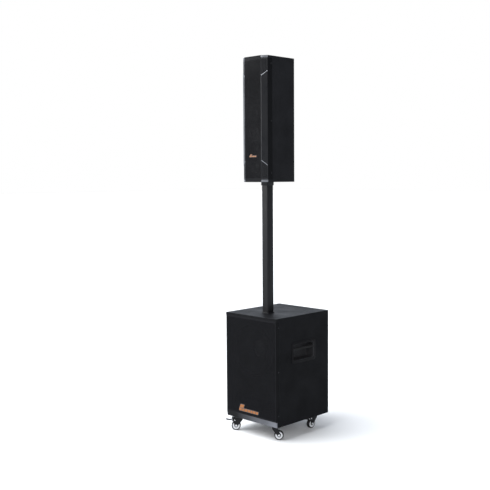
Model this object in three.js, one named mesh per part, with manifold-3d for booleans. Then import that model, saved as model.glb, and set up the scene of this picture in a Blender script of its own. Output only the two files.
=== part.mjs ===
// Column PA system: a subwoofer on four swivel casters, a square pole and a slim satellite column.
// Millimetres. X runs across the front, the front faces -Y and Z is up. The origin is on the floor,
// under the middle of the subwoofer.
import * as THREE from 'three';
import { mergeVertices } from 'three/addons/utils/BufferGeometryUtils.js';
import Module from 'manifold-3d';

const wasm = await Module();
wasm.setup();

// ---------------------------------------------------------------- driving dimensions
const GAP = 0.3; // clearance between two pieces that seat on each other
const RUNNING = 0.6; // clearance around a piece that turns or slides in another

// Subwoofer cabinet
const SUB_WIDTH = 372;
const SUB_DEPTH = 422;
const SUB_HEIGHT = 570;
const SUB_WALL = 15;
const SUB_CORNER = 10; // radius of the upright rear corners
const SUB_SHEET = 2; // thickness of the folded front grille
const SUB_FLANGE = 25; // how far the grille folds back along each side
const KICK_HEIGHT = 29; // plain strip along the foot of the front
const KICK_THICKNESS = 8;
const KICK_LEAN = 5; // the strip's foot is set back by this much
const BAFFLE_SETBACK = 22; // from the front of the grille to the front of the baffle
const BAFFLE_THICKNESS = 18;
const SUB_BADGE = { width: 150, height: 18, thickness: 1.5, x: -16, rise: 16 };

// Woofer, measured from the baffle's front face, and its port
const WOOFER = {
  flange: 154, flangeThickness: 5, mouth: 139, wall: 4, shoulder: 22, neck: 62, depth: 96,
  coneEdge: 136, coneNeck: 38, coneDepth: 58, cap: 46, capRise: 16, paper: 2.5,
};
const WOOFER_DROP = 185; // from the cabinet's top to the woofer's axis
const MAGNET_RADIUS = 78;
const MAGNET_DEPTH = 42;
const MAGNET_BORE = 16;
const PORT_WIDTH = 250;
const PORT_HEIGHT = 56;
const PORT_WALL = 6;
const PORT_LENGTH = 190;
const PORT_RISE = 92; // from the cabinet's underside to the port's axis

// Recessed side handles
const HANDLE_LENGTH = 165;
const HANDLE_HEIGHT = 90;
const HANDLE_DEPTH = 55;
const HANDLE_SKIN = 3;
const HANDLE_LIP = 12; // width of the rim around the cup
const HANDLE_RIM = 1.5; // thickness of that rim
const HANDLE_DROP = 195; // from the cabinet's top to the cup's middle
const GRIP_RADIUS = 9;
const GRIP_RISE = 16; // grip bar above the cup's middle
const GRIP_INSET = 12; // grip bar's axis, in from the cabinet's side

// Amplifier in the rear wall
const AMP_WIDTH = 250;
const AMP_HEIGHT = 300;
const AMP_THICKNESS = 3;
const AMP_RECESS = 13; // plate's outer face, in from the cabinet's rear
const AMP_RISE = 250; // from the cabinet's underside to the plate's middle
const FIN_COUNT = 11;
const FIN_THICKNESS = 3;
const FIN_HEIGHT = 7;
const FIN_BASE = 3;
const HEATSINK_WIDTH = 196;
const HEATSINK_HEIGHT = 110;
const HEATSINK_RISE = 78; // middle of the heatsink above the plate's middle
const KNOB_RADIUS = 9;
const KNOB_LENGTH = 11;
const KNOB_TAPER = 1.4; // how much less the radius is at the knob's end
const KNOB_SHAFT = 3;
const KNOB_PITCH = 58;
const KNOB_RISE = -8; // row heights above the plate's middle
const SOCKET_RISE = -60;
const MAINS_RISE = -115;
const INPUT = { radius: 12, recess: 9.5, depth: 16, rim: 3 };
const INPUT_PITCH = 46;
const OUTLET = { radius: 15, recess: 12, depth: 18, rim: 3 };
const SOCKET_FACE = 2; // how far a socket's rim stands off its plate
const INLET_WIDTH = 28;
const INLET_HEIGHT = 21;
const INLET_DEPTH = 20;
const INLET_WALL = 2.5;
const INLET_RIM = 5; // width of the inlet's flange
const ROCKER_WIDTH = 13;
const ROCKER_HEIGHT = 19;
const ROCKER_TILT = 9; // degrees either side of level
const ROCKER_DEPTH = 7;
const ROCKER_FOOT = 10.5; // height of its narrow inner end
const MAINS_SPACING = 44; // inlet and rocker, either side of the plate's middle
const BOARD_WIDTH = 190;
const BOARD_HEIGHT = 230;
const BOARD_THICKNESS = 3;
const BOARD_STANDOFF = 12;
const TRANSFORMER = { radius: 38, length: 45, x: -40, drop: 50 };
const CAPACITORS = { width: 55, height: 40, length: 30, x: 47.5, drop: 70 };
const SPREADER = { width: 140, height: 60, length: 24, rise: 60 };

// Swivel casters
const CASTER_HEIGHT = 80;
const WHEEL_RADIUS = 25;
const WHEEL_WIDTH = 19;
const WHEEL_BORE = 4;
const HUB_RADIUS = 8.75;
const CORE_RADIUS = 19.5; // inner core, inside the tread
const DISH_DEPTH = 2.5; // the core is dished between its hub and its rim
const DISH_SLOPE = 1.6;
const TREAD_EDGE = 1.8;
const CASTER_TRAIL = 22; // wheel's axle behind the swivel axis
const CASTER_INSET = 56; // swivel axis, in from the cabinet's sides
const CASTER_FRONT_INSET = 46;
const CASTER_REAR_INSET = 64;
const PLATE_LENGTH = 62;
const PLATE_WIDTH = 50;
const PLATE_THICKNESS = 2.5;
const RACE_RADIUS = 17;
const RACE_HEIGHT = 6.5;
const KINGPIN_RADIUS = 5;
const KINGPIN_HEAD = 8;
const KINGPIN_HEAD_HEIGHT = 3;
const FORK_THICKNESS = 2.5;
const FORK_REACH = 16; // web's front edge ahead of the swivel axis
const FORK_END_RADIUS = 9;
const LEG_LENGTH = 34; // a plain fork's leg at its top
const BRAKE_LEG_LENGTH = 62; // the same on a fork that carries a brake
const LEG_SHOULDER = 14; // depth of a leg's upright front edge
const LEG_RAKE = 3; // how far that edge leans back
const LEG_TAIL = { drop: 16, rake: 2, brakeRake: 8 };
const RIVET_HEIGHT = 1.5;
const FORK_CLEARANCE = 1; // from a leg to the wheel's side
const RIVET_RADIUS = 5.5;
const PEDAL_PIVOT = { along: 29, rise: 56, radius: 2.5 };
const PEDAL_REACH = 77; // pedal's tip from the swivel axis
const PEDAL_THICKNESS = 3;
const PEDAL_TIP_RISE = 4;
const PEDAL_EYE = 2; // wall around the pivot pin
const PEDAL_BEND = 16; // length of the turned-up tip
const SHOE = { start: 4, length: 9, clearance: 3.6 }; // start is from the pivot, clearance is over the tread

// Pole
const POLE_SIZE = 45;
const POLE_WALL = 2;
const POLE_CORNER = 6;
const POLE_EXPOSED = 700; // subwoofer's top to satellite's underside
const POLE_SETBACK = 135; // front of the subwoofer to the pole's axis
const POLE_FOOT = 70; // length held in the subwoofer
const POLE_HEAD = 60; // length held in the satellite
const SOCKET_SKIN = 1.7;
const SOCKET_FLOOR = 3;
const BASE_COLLAR_LIP = 1.5; // how far a collar stands out around its socket
const BASE_COLLAR_HEIGHT = 4;
const TOP_COLLAR_LIP = 1;
const TOP_COLLAR_HEIGHT = 18;
const LOCK_HEAD_RADIUS = 5;
const LOCK_HEAD_LENGTH = 6;
const LOCK_SHANK_RADIUS = 2;

// Satellite
const SAT_WIDTH = 178;
const SAT_DEPTH = 229;
const SAT_HEIGHT = 648;
const SAT_WALL = 12;
const SAT_CORNER = 12;
const SAT_SHEET = 1.5;
const SAT_FLANGE = 34; // how far the grille folds back along each side
const SAT_OVERHANG = 107; // front of the satellite to the pole's axis
const WING_WIDTH = 30.25; // swept-back facet beside the front, seen from the front
const WING_DEPTH = 20;
const SAT_BAFFLE_SETBACK = 24;
const SAT_BAFFLE_THICKNESS = 12;
const TRIM_THICKNESS = 1.5;
const TRIM_MARGIN = 1; // trim's inner and outer edges, in from the facet's edges
const TRIM_TOP_INNER = 101; // trim's corners below the satellite's top and above its underside
const TRIM_TOP_OUTER = 77;
const TRIM_FOOT_INNER = 111;
const TRIM_FOOT_OUTER = 85;
const SAT_BADGE = { width: 52, height: 9, thickness: 1.2, rise: 129 };
const MID = {
  flange: 45, flangeThickness: 4, mouth: 37, wall: 3, shoulder: 12, neck: 24, depth: 32,
  coneEdge: 35, coneNeck: 11, coneDepth: 15, cap: 13, capRise: 5, paper: 1.5,
};
const MID_MAGNET_RADIUS = 30;
const MID_MAGNET_DEPTH = 18;
const MID_COUNT = 4;
const MID_PITCH = 92;
const MID_FIRST_RISE = 84; // satellite's underside to the lowest driver's axis
const HORN_WIDTH = 120;
const HORN_HEIGHT = 150;
const HORN_RIM = 10;
const HORN_FLANGE = 4;
const HORN_SKIN = 3;
const HORN_DEPTH = 72;
const HORN_THROAT = 26;
const HORN_DROP = 148; // satellite's top to the horn's axis
const TWEETER_RADIUS = 38;
const TWEETER_DEPTH = 44;
const JACK_PLATE = { width: 96, height: 52, thickness: 2, rise: 92 };
const JACK_PITCH = 42;
const CROSSOVER = { width: 96, height: 130, thickness: 2, rise: 330, standoff: 8 };
const COIL = { radius: 16, length: 18, x: 24, z: 30 };

const ROUND = 32; // segments around a large turned piece
const WHEEL_ROUND = 24;
const MEDIUM_ROUND = 18;
const SMALL_ROUND = 12;

// ---------------------------------------------------------------- places worked out from them
const subFront = -SUB_DEPTH / 2;
const subRear = SUB_DEPTH / 2;
const subBottom = CASTER_HEIGHT;
const subTop = subBottom + SUB_HEIGHT;
const subSeat = SUB_SHEET + GAP; // rebate that takes the grille
const kickTop = subBottom + KICK_HEIGHT;
const baffleFront = subFront + BAFFLE_SETBACK;
const wooferZ = subTop - WOOFER_DROP;
const portZ = subBottom + PORT_RISE;
const handleZ = subTop - HANDLE_DROP;
const ampZ = subBottom + AMP_RISE;
const ampFace = subRear - AMP_RECESS;
const poleY = subFront + POLE_SETBACK;
const satBottom = subTop + POLE_EXPOSED;
const satTop = satBottom + SAT_HEIGHT;
const satFront = poleY - SAT_OVERHANG;
const satRear = satFront + SAT_DEPTH;
const satSeat = SAT_SHEET + GAP;
const satBaffleFront = satFront + SAT_BAFFLE_SETBACK;
const poleRoom = POLE_SIZE + RUNNING;
const wellSize = poleRoom + 2 * SOCKET_SKIN;
const topCollar = wellSize + 2 * TOP_COLLAR_LIP;
const forkTop = CASTER_HEIGHT - GAP - PLATE_THICKNESS - RACE_HEIGHT - GAP;

// ---------------------------------------------------------------- shaping helpers
const shapeOf = (points) => new THREE.Shape(points.map(([x, y]) => new THREE.Vector2(x, y)));

function solidOf(geometry) {
  const bare = geometry.index ? geometry.toNonIndexed() : geometry.clone();
  bare.deleteAttribute('normal');
  bare.deleteAttribute('uv');
  const welded = mergeVertices(bare, 1e-4);
  const index = welded.index.array;
  const triangles = [];
  for (let i = 0; i < index.length; i += 3) {
    const [a, b, c] = [index[i], index[i + 1], index[i + 2]];
    if (a !== b && b !== c && c !== a) triangles.push(a, b, c);
  }
  const mesh = new wasm.Mesh({
    numProp: 3,
    vertProperties: new Float32Array(welded.attributes.position.array),
    triVerts: new Uint32Array(triangles),
  });
  return new wasm.Manifold(mesh);
}

function geometryOf(solid) {
  const mesh = solid.getMesh();
  const geometry = new THREE.BufferGeometry();
  geometry.setAttribute('position', new THREE.BufferAttribute(mesh.vertProperties.slice(), 3));
  geometry.setIndex(new THREE.BufferAttribute(mesh.triVerts.slice(), 1));
  geometry.computeVertexNormals();
  return geometry;
}

const join = (first, ...rest) => rest.reduce((sum, item) => sum.add(solidOf(item)), solidOf(first));
const cut = (solid, ...tools) => tools.reduce((left, tool) => left.subtract(solidOf(tool)), solid);

// The same shape on the other side of the middle plane.
const mirrored = (shape) => {
  const solid = shape instanceof THREE.BufferGeometry ? solidOf(shape) : shape;
  return solid.mirror([1, 0, 0]);
};

// A block between two corners.
function block(low, high) {
  const size = high.map((value, i) => value - low[i]);
  const middle = high.map((value, i) => (value + low[i]) / 2);
  return new THREE.BoxGeometry(...size).translate(...middle);
}

// A square block about the pole's axis.
const squareAt = (size, low, high) =>
  block([-size / 2, poleY - size / 2, low], [size / 2, poleY + size / 2, high]);

// An outline in plan, raised from one height to another.
function upright(shape, low, high) {
  const settings = { depth: high - low, bevelEnabled: false, curveSegments: 5 };
  return new THREE.ExtrudeGeometry(shape, settings).translate(0, 0, low);
}

// An outline seen from the front (x, z), given a depth from y = front backwards.
function facing(shape, front, depth, curveSegments = ROUND / 2) {
  const settings = { depth, bevelEnabled: false, curveSegments };
  return new THREE.ExtrudeGeometry(shape, settings).rotateX(Math.PI / 2).translate(0, front + depth, 0);
}

// An outline seen from the right (y, z), swept from one x to another.
function sideways(shape, low, high) {
  const settings = { depth: high - low, bevelEnabled: false, curveSegments: 6 };
  return new THREE.ExtrudeGeometry(shape, settings)
    .rotateX(Math.PI / 2).rotateZ(Math.PI / 2).translate(low, 0, 0);
}

// A profile of [radius, distance] turned about an axis that points to +Y.
function turned(profile, segments = ROUND) {
  return new THREE.LatheGeometry(profile.map(([r, y]) => new THREE.Vector2(r, y)), segments);
}

// A plain rod along Y, between two distances.
const rod = (radius, low, high, segments = SMALL_ROUND) =>
  turned([[0, low], [radius, low], [radius, high], [0, high]], segments);

function circle(x, z, radius) {
  return new THREE.Path().absarc(x, z, radius, 0, 2 * Math.PI, true);
}

// Radius of a faceted hole that clears a round piece whatever way its facets face.
const around = (radius, segments) => (radius + GAP) / Math.cos(Math.PI / segments);

function rectangle(x, z, width, height) {
  const [w, h] = [width / 2, height / 2];
  return shapeOf([[x - w, z - h], [x + w, z - h], [x + w, z + h], [x - w, z + h]]);
}

function roundedSquare(size, radius) {
  const h = size / 2 - radius;
  const shape = new THREE.Shape();
  [[h, h, 0], [-h, h, 1], [-h, -h, 2], [h, -h, 3]].forEach(([x, y, quarter]) => {
    shape.absarc(x, y, radius, (quarter * Math.PI) / 2, ((quarter + 1) * Math.PI) / 2, false);
  });
  return shape;
}

// The closed outline of a sheet folded along a line of points, thickened to the line's left.
function foldedSheet(points, thickness) {
  const line = points.map(([x, y]) => new THREE.Vector2(x, y));
  const sideOf = (i) => {
    const run = line[i + 1].clone().sub(line[i]).normalize();
    return new THREE.Vector2(-run.y, run.x);
  };
  const inner = line.map((corner, i) => {
    const before = sideOf(Math.max(i - 1, 0));
    const after = sideOf(Math.min(i, line.length - 2));
    const mitre = before.clone().add(after).normalize();
    return corner.clone().addScaledVector(mitre, thickness / mitre.dot(after));
  });
  return new THREE.Shape([...line, ...inner.reverse()]);
}

// ---------------------------------------------------------------- materials
const finish = (color, roughness, metalness = 0) =>
  new THREE.MeshStandardMaterial({ color, roughness, metalness });

const material = {
  cabinet: finish(0x1d1d1f, 0.62),
  grille: finish(0x222224, 0.5, 0.4),
  trim: finish(0x2b2b2e, 0.35, 0.1),
  badge: finish(0xc98236, 0.4, 0.2),
  board: finish(0x6f5b40, 0.85),
  basket: finish(0x202022, 0.5, 0.6),
  paper: finish(0x18181a, 0.9),
  magnet: finish(0x34343a, 0.6, 0.5),
  plastic: finish(0x161618, 0.45),
  amp: finish(0x1a1a1c, 0.5, 0.3),
  heatsink: finish(0x2a2a2c, 0.4, 0.8),
  circuit: finish(0x1f5a3a, 0.6),
  knob: finish(0x141416, 0.5),
  zinc: finish(0x3a3a3e, 0.45, 0.8),
  wheel: finish(0xc4c6ca, 0.5),
  pole: finish(0x1f1f21, 0.35, 0.3),
};

const system = new THREE.Group();

function place(name, shape, look, parent = system) {
  const geometry = shape instanceof THREE.BufferGeometry ? shape : geometryOf(shape);
  const mesh = new THREE.Mesh(geometry, look);
  mesh.name = name;
  parent.add(mesh);
  return mesh;
}

// ---------------------------------------------------------------- subwoofer cabinet
function subOutline(front) {
  const w = SUB_WIDTH / 2;
  const r = SUB_CORNER;
  const shape = shapeOf([[-w, front], [w, front], [w, subRear - r]]);
  shape.absarc(w - r, subRear - r, r, 0, Math.PI / 2, false);
  shape.absarc(-w + r, subRear - r, r, Math.PI / 2, Math.PI, false);
  return shape;
}

function subWalls() {
  const w = SUB_WIDTH / 2;
  const r = SUB_CORNER;
  const front = subFront + subSeat;
  const step = subFront + SUB_FLANGE + GAP;
  const shape = shapeOf([[w - SUB_WALL, front], [w - subSeat, front], [w - subSeat, step], [w, step]]);
  shape.lineTo(w, subRear - r);
  shape.absarc(w - r, subRear - r, r, 0, Math.PI / 2, false);
  shape.absarc(-w + r, subRear - r, r, Math.PI / 2, Math.PI, false);
  [
    [-w, step], [-w + subSeat, step], [-w + subSeat, front], [-w + SUB_WALL, front],
    [-w + SUB_WALL, subRear - SUB_WALL], [w - SUB_WALL, subRear - SUB_WALL],
  ].forEach(([x, y]) => shape.lineTo(x, y));
  return shape;
}

function subCabinet() {
  const box = join(
    upright(subOutline(subFront), subTop - SUB_WALL, subTop),
    upright(subOutline(subFront + KICK_THICKNESS + GAP), subBottom, subBottom + SUB_WALL),
    upright(subWalls(), subBottom + SUB_WALL, subTop - SUB_WALL),
  );
  // The walls' front feet stop above the kick strip, which runs the full width.
  const kickRoom = block(
    [-SUB_WIDTH, subFront - 1, subBottom - 1],
    [SUB_WIDTH, subFront + KICK_THICKNESS + GAP, kickTop + GAP],
  );
  const poleHole = squareAt(wellSize + 2 * GAP, subTop - 2 * SUB_WALL, subTop + 1);
  const ampHole = facing(rectangle(0, ampZ, AMP_WIDTH, AMP_HEIGHT), subRear - 2 * SUB_WALL, 3 * SUB_WALL);
  const handleHole = block(
    [-SUB_WIDTH, -HANDLE_LENGTH / 2 - GAP, handleZ - HANDLE_HEIGHT / 2 - GAP],
    [SUB_WIDTH, HANDLE_LENGTH / 2 + GAP, handleZ + HANDLE_HEIGHT / 2 + GAP],
  );
  return cut(box, kickRoom, poleHole, ampHole, handleHole);
}

function subBaffle() {
  const w = SUB_WIDTH / 2 - SUB_WALL - GAP;
  const [low, high] = [subBottom + SUB_WALL + GAP, subTop - SUB_WALL - GAP];
  const shape = shapeOf([[-w, low], [w, low], [w, high], [-w, high]]);
  shape.holes.push(circle(0, wooferZ, around(WOOFER.mouth + WOOFER.wall, ROUND)));
  const port = rectangle(0, portZ, PORT_WIDTH + 2 * (PORT_WALL + GAP), PORT_HEIGHT + 2 * (PORT_WALL + GAP));
  shape.holes.push(port);
  return facing(shape, baffleFront, BAFFLE_THICKNESS);
}

function subGrille() {
  const w = SUB_WIDTH / 2;
  const back = subFront + SUB_FLANGE;
  const outline = foldedSheet([[-w, back], [-w, subFront], [w, subFront], [w, back]], SUB_SHEET);
  return upright(outline, kickTop + 2 * GAP, subTop - SUB_WALL - GAP);
}

function kickStrip() {
  const outline = shapeOf([
    [subFront, kickTop], [subFront + KICK_LEAN, subBottom],
    [subFront + KICK_THICKNESS, subBottom], [subFront + KICK_THICKNESS, kickTop],
  ]);
  return sideways(outline, -SUB_WIDTH / 2, SUB_WIDTH / 2);
}

// A plate standing just in front of a grille.
function badge({ width, height, thickness }, x, front, z) {
  return block([x - width / 2, front - GAP - thickness, z], [x + width / 2, front - GAP, z + height]);
}

function portDuct() {
  const outer = rectangle(0, portZ, PORT_WIDTH + 2 * PORT_WALL, PORT_HEIGHT + 2 * PORT_WALL);
  outer.holes.push(rectangle(0, portZ, PORT_WIDTH, PORT_HEIGHT));
  return facing(outer, baffleFront, PORT_LENGTH);
}

// ---------------------------------------------------------------- loudspeaker drivers
// A basket turned about its axis; its flange seats on the face at y = 0 and its mouth is forward.
// A driver with a glued-on magnet has it as a boss behind the basket.
function basket(d, magnet, segments = ROUND) {
  const outer = d.mouth + d.wall;
  const inside = [[0, d.depth - d.wall], [d.neck - d.wall, d.depth - d.wall], [d.mouth, d.shoulder]];
  const flange = [
    [d.mouth, -GAP - d.flangeThickness], [d.flange, -GAP - d.flangeThickness],
    [d.flange, -GAP], [outer, -GAP], [outer, d.shoulder], [d.neck, d.depth],
  ];
  const boss = magnet
    ? [[magnet.radius, d.depth], [magnet.radius, d.depth + magnet.depth], [0, d.depth + magnet.depth]]
    : [[0, d.depth]];
  return turned([...inside, ...flange, ...boss], segments);
}

// Cone, dust cap, surround lip and voice-coil former, as one thin moving shell.
function cone(d, segments = ROUND) {
  const rim = 0;
  const neck = d.coneDepth;
  return turned([
    [0, neck - d.capRise], [d.cap * 0.6, neck - d.capRise * 0.72], [d.cap, neck - d.cap * 0.14],
    [d.coneEdge * 0.9, rim], [d.coneEdge, rim], [d.coneEdge, rim + d.paper],
    [d.coneEdge * 0.9, rim + d.paper], [d.coneNeck, neck + d.paper],
    [d.coneNeck, neck + d.capRise], [d.coneNeck - d.paper, neck + d.capRise],
    [d.coneNeck - d.paper, neck], [0, neck],
  ], segments);
}

function wooferMagnet() {
  const front = WOOFER.depth + GAP;
  return turned([
    [MAGNET_BORE, front], [MAGNET_RADIUS, front], [MAGNET_RADIUS, front + MAGNET_DEPTH],
    [MAGNET_BORE, front + MAGNET_DEPTH], [MAGNET_BORE, front],
  ]);
}

// ---------------------------------------------------------------- side handles
// A cup let into the right side, with a rim outside and a round grip bar across it.
function handleCup() {
  const side = SUB_WIDTH / 2;
  const [l, h] = [HANDLE_LENGTH / 2, HANDLE_HEIGHT / 2];
  const floor = side - HANDLE_DEPTH;
  const rimFace = side + GAP + HANDLE_RIM;
  const cup = join(
    block([floor, -l, handleZ - h], [rimFace, l, handleZ + h]),
    block([side + GAP, -l - HANDLE_LIP, handleZ - h - HANDLE_LIP],
      [rimFace, l + HANDLE_LIP, handleZ + h + HANDLE_LIP]),
  );
  const hollow = block(
    [floor + HANDLE_SKIN, -l + HANDLE_SKIN, handleZ - h + HANDLE_SKIN],
    [side + HANDLE_DEPTH, l - HANDLE_SKIN, handleZ + h - HANDLE_SKIN],
  );
  const grip = rod(GRIP_RADIUS, -l + HANDLE_SKIN / 2, l - HANDLE_SKIN / 2)
    .translate(side - GRIP_INSET, 0, handleZ + GRIP_RISE);
  return cut(cup, hollow).add(solidOf(grip));
}

// ---------------------------------------------------------------- amplifier
const knobPlaces = [-KNOB_PITCH, 0, KNOB_PITCH];
const inputPlaces = [-KNOB_PITCH - INPUT_PITCH / 4, -KNOB_PITCH + (3 * INPUT_PITCH) / 4];
const outletPlace = KNOB_PITCH;
const inletPlace = MAINS_SPACING;
const rockerPlace = -MAINS_SPACING;

function ampPlate() {
  const shape = rectangle(0, ampZ, AMP_WIDTH - 2 * GAP, AMP_HEIGHT - 2 * GAP);
  knobPlaces.forEach((x) => shape.holes.push(circle(x, ampZ + KNOB_RISE, around(KNOB_SHAFT, SMALL_ROUND))));
  const socketZ = ampZ + SOCKET_RISE;
  inputPlaces.forEach((x) => shape.holes.push(circle(x, socketZ, around(INPUT.radius, SMALL_ROUND))));
  shape.holes.push(circle(outletPlace, socketZ, around(OUTLET.radius, SMALL_ROUND)));
  const inletHole = [INLET_WIDTH + 2 * GAP, INLET_HEIGHT + 2 * GAP];
  shape.holes.push(rectangle(inletPlace, ampZ + MAINS_RISE, ...inletHole));
  const rockerHole = [ROCKER_WIDTH + 2 * RUNNING, ROCKER_HEIGHT + 4 * RUNNING];
  shape.holes.push(rectangle(rockerPlace, ampZ + MAINS_RISE, ...rockerHole));
  return facing(shape, ampFace - AMP_THICKNESS, AMP_THICKNESS, SMALL_ROUND / 2);
}

// A comb of upright fins on the plate's outer face.
function heatsink() {
  const base = ampFace + GAP;
  const pitch = (HEATSINK_WIDTH - FIN_THICKNESS) / (FIN_COUNT - 1);
  const outline = [[-HEATSINK_WIDTH / 2, base], [HEATSINK_WIDTH / 2, base]];
  for (let i = FIN_COUNT - 1; i >= 0; i -= 1) {
    const left = -HEATSINK_WIDTH / 2 + i * pitch;
    const right = left + FIN_THICKNESS;
    const [root, tip] = [base + FIN_BASE, base + FIN_BASE + FIN_HEIGHT];
    if (i < FIN_COUNT - 1) outline.push([right, root]);
    outline.push([right, tip], [left, tip]);
    if (i > 0) outline.push([left, root]);
  }
  const middle = ampZ + HEATSINK_RISE;
  return upright(shapeOf(outline), middle - HEATSINK_HEIGHT / 2, middle + HEATSINK_HEIGHT / 2);
}

function ampBoard() {
  const front = ampFace - AMP_THICKNESS - BOARD_STANDOFF - INPUT.depth;
  const back = front - BOARD_THICKNESS;
  const [w, h] = [BOARD_WIDTH / 2, BOARD_HEIGHT / 2];
  const root = back + BOARD_THICKNESS / 2;
  const transformer = rod(TRANSFORMER.radius, back - TRANSFORMER.length, root, MEDIUM_ROUND)
    .translate(TRANSFORMER.x, 0, ampZ - TRANSFORMER.drop);
  const capacitors = rectangle(CAPACITORS.x, ampZ - CAPACITORS.drop, CAPACITORS.width, CAPACITORS.height);
  const spreader = rectangle(0, ampZ + SPREADER.rise, SPREADER.width, SPREADER.height);
  return join(
    block([-w, back, ampZ - h], [w, front, ampZ + h]),
    transformer,
    facing(capacitors, back - CAPACITORS.length, root - back + CAPACITORS.length),
    facing(spreader, back - SPREADER.length, root - back + SPREADER.length),
  );
}

function knob(x) {
  const z = ampZ + KNOB_RISE;
  const face = ampFace + RUNNING;
  const inner = ampFace - AMP_THICKNESS - BOARD_STANDOFF / 2;
  return turned([
    [0, inner], [KNOB_SHAFT, inner], [KNOB_SHAFT, face], [KNOB_RADIUS, face],
    [KNOB_RADIUS - KNOB_TAPER, face + KNOB_LENGTH], [0, face + KNOB_LENGTH],
  ], SMALL_ROUND).translate(x, 0, z);
}

// A round socket: a rim on the plate's outer face and a body behind it, hollow from outside.
function socket({ radius, recess, depth, rim }, x, face, thickness, z) {
  const front = face + GAP;
  const back = face - thickness - depth;
  return turned([
    [0, back], [radius, back], [radius, front], [radius + rim, front],
    [radius + rim, front + SOCKET_FACE], [recess, front + SOCKET_FACE],
    [recess, back + rim], [0, back + rim],
  ], SMALL_ROUND).translate(x, 0, z);
}

function mainsInlet() {
  const z = ampZ + MAINS_RISE;
  const front = ampFace + GAP;
  const [outerWidth, outerHeight] = [INLET_WIDTH + 2 * INLET_RIM, INLET_HEIGHT + 2 * INLET_RIM];
  const frame = facing(rectangle(inletPlace, z, outerWidth, outerHeight), front, SOCKET_FACE);
  const body = facing(rectangle(inletPlace, z, INLET_WIDTH, INLET_HEIGHT), front - INLET_DEPTH,
    INLET_DEPTH + SOCKET_FACE / 2);
  const hollow = facing(
    rectangle(inletPlace, z, INLET_WIDTH - 2 * INLET_WALL, INLET_HEIGHT - 2 * INLET_WALL),
    front - INLET_DEPTH + INLET_WALL, INLET_DEPTH + SOCKET_FACE,
  );
  return cut(join(frame, body), hollow);
}

// A rocker with a shallow V face, resting with its top pressed in.
function rocker() {
  const half = ROCKER_HEIGHT / 2;
  const dish = half * Math.tan(THREE.MathUtils.degToRad(ROCKER_TILT));
  const outline = shapeOf([
    [-ROCKER_DEPTH, -ROCKER_FOOT / 2], [dish / 2, -half], [-dish / 2, 0],
    [dish / 2, half], [-ROCKER_DEPTH, ROCKER_FOOT / 2],
  ]);
  return sideways(outline, -ROCKER_WIDTH / 2, ROCKER_WIDTH / 2)
    .rotateX(THREE.MathUtils.degToRad(ROCKER_TILT))
    .translate(rockerPlace, ampFace, ampZ + MAINS_RISE);
}

// ---------------------------------------------------------------- casters
// In a caster's own frame the swivel axis is Z, the wheel trails towards +X and its axle is along Y.
const vertical = (geometry) => geometry.rotateX(Math.PI / 2);

function casterPlate() {
  const top = CASTER_HEIGHT - GAP;
  const under = top - PLATE_THICKNESS;
  const headTop = forkTop - FORK_THICKNESS - GAP;
  const race = vertical(turned([
    [0, headTop - KINGPIN_HEAD_HEIGHT], [KINGPIN_HEAD, headTop - KINGPIN_HEAD_HEIGHT],
    [KINGPIN_HEAD, headTop], [KINGPIN_RADIUS, headTop], [KINGPIN_RADIUS, under - RACE_HEIGHT],
    [RACE_RADIUS, under - RACE_HEIGHT], [RACE_RADIUS, top - 1], [0, top - 1],
  ], SMALL_ROUND));
  const plate = block([-PLATE_LENGTH / 2, -PLATE_WIDTH / 2, under], [PLATE_LENGTH / 2, PLATE_WIDTH / 2, top]);
  return join(plate, race);
}

// Two legs under a web, with the axle and its rivet heads fixed between them.
function casterFork(braked) {
  const inside = WHEEL_WIDTH / 2 + FORK_CLEARANCE;
  const outside = inside + FORK_THICKNESS;
  const length = braked ? BRAKE_LEG_LENGTH : LEG_LENGTH;
  const front = -FORK_REACH;
  const [ax, az, r] = [CASTER_TRAIL, WHEEL_RADIUS, FORK_END_RADIUS];
  const leg = shapeOf([
    [front + length, forkTop], [front, forkTop], [front + LEG_RAKE, forkTop - LEG_SHOULDER], [ax - r, az],
  ]);
  leg.absarc(ax, az, r, Math.PI, 2 * Math.PI, false);
  leg.lineTo(front + length - (braked ? LEG_TAIL.brakeRake : LEG_TAIL.rake), forkTop - LEG_TAIL.drop);
  const legs = [-outside, inside].map((y) => facing(leg, y, FORK_THICKNESS, 6));
  const web = block([front, -outside, forkTop - FORK_THICKNESS], [front + length, outside, forkTop]);
  const disc = vertical(rod(RACE_RADIUS, forkTop - FORK_THICKNESS, forkTop));
  const axle = rod(WHEEL_BORE, -outside, outside).translate(ax, 0, az);
  const heads = [-1, 1].map((side) => {
    const edges = [side * (outside - GAP), side * (outside + RIVET_HEIGHT)].sort((a, b) => a - b);
    return rod(RIVET_RADIUS, ...edges).translate(ax, 0, az);
  });
  const pivot = rod(PEDAL_PIVOT.radius, -outside, outside)
    .translate(PEDAL_PIVOT.along, 0, PEDAL_PIVOT.rise);
  const pieces = [web, disc, ...legs, axle, ...heads];
  if (braked) pieces.push(pivot);
  const kingpinHole = vertical(rod(KINGPIN_RADIUS + RUNNING, forkTop - FORK_THICKNESS - 1, forkTop + 1));
  return cut(join(...pieces), kingpinHole);
}

function casterWheel() {
  const [w, r] = [WHEEL_WIDTH / 2, WHEEL_RADIUS];
  const bore = WHEEL_BORE + RUNNING / 2;
  const half = [
    [bore, w], [HUB_RADIUS, w], [HUB_RADIUS + DISH_SLOPE, w - DISH_DEPTH],
    [CORE_RADIUS - DISH_SLOPE, w - DISH_DEPTH], [CORE_RADIUS, w], [r - TREAD_EDGE, w], [r, w - TREAD_EDGE],
  ];
  const flipped = half.map(([radius, y]) => [radius, -y]);
  const profile = [...flipped, ...half.reverse(), [bore, -w]];
  return turned(profile, WHEEL_ROUND).translate(CASTER_TRAIL, 0, WHEEL_RADIUS);
}

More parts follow.
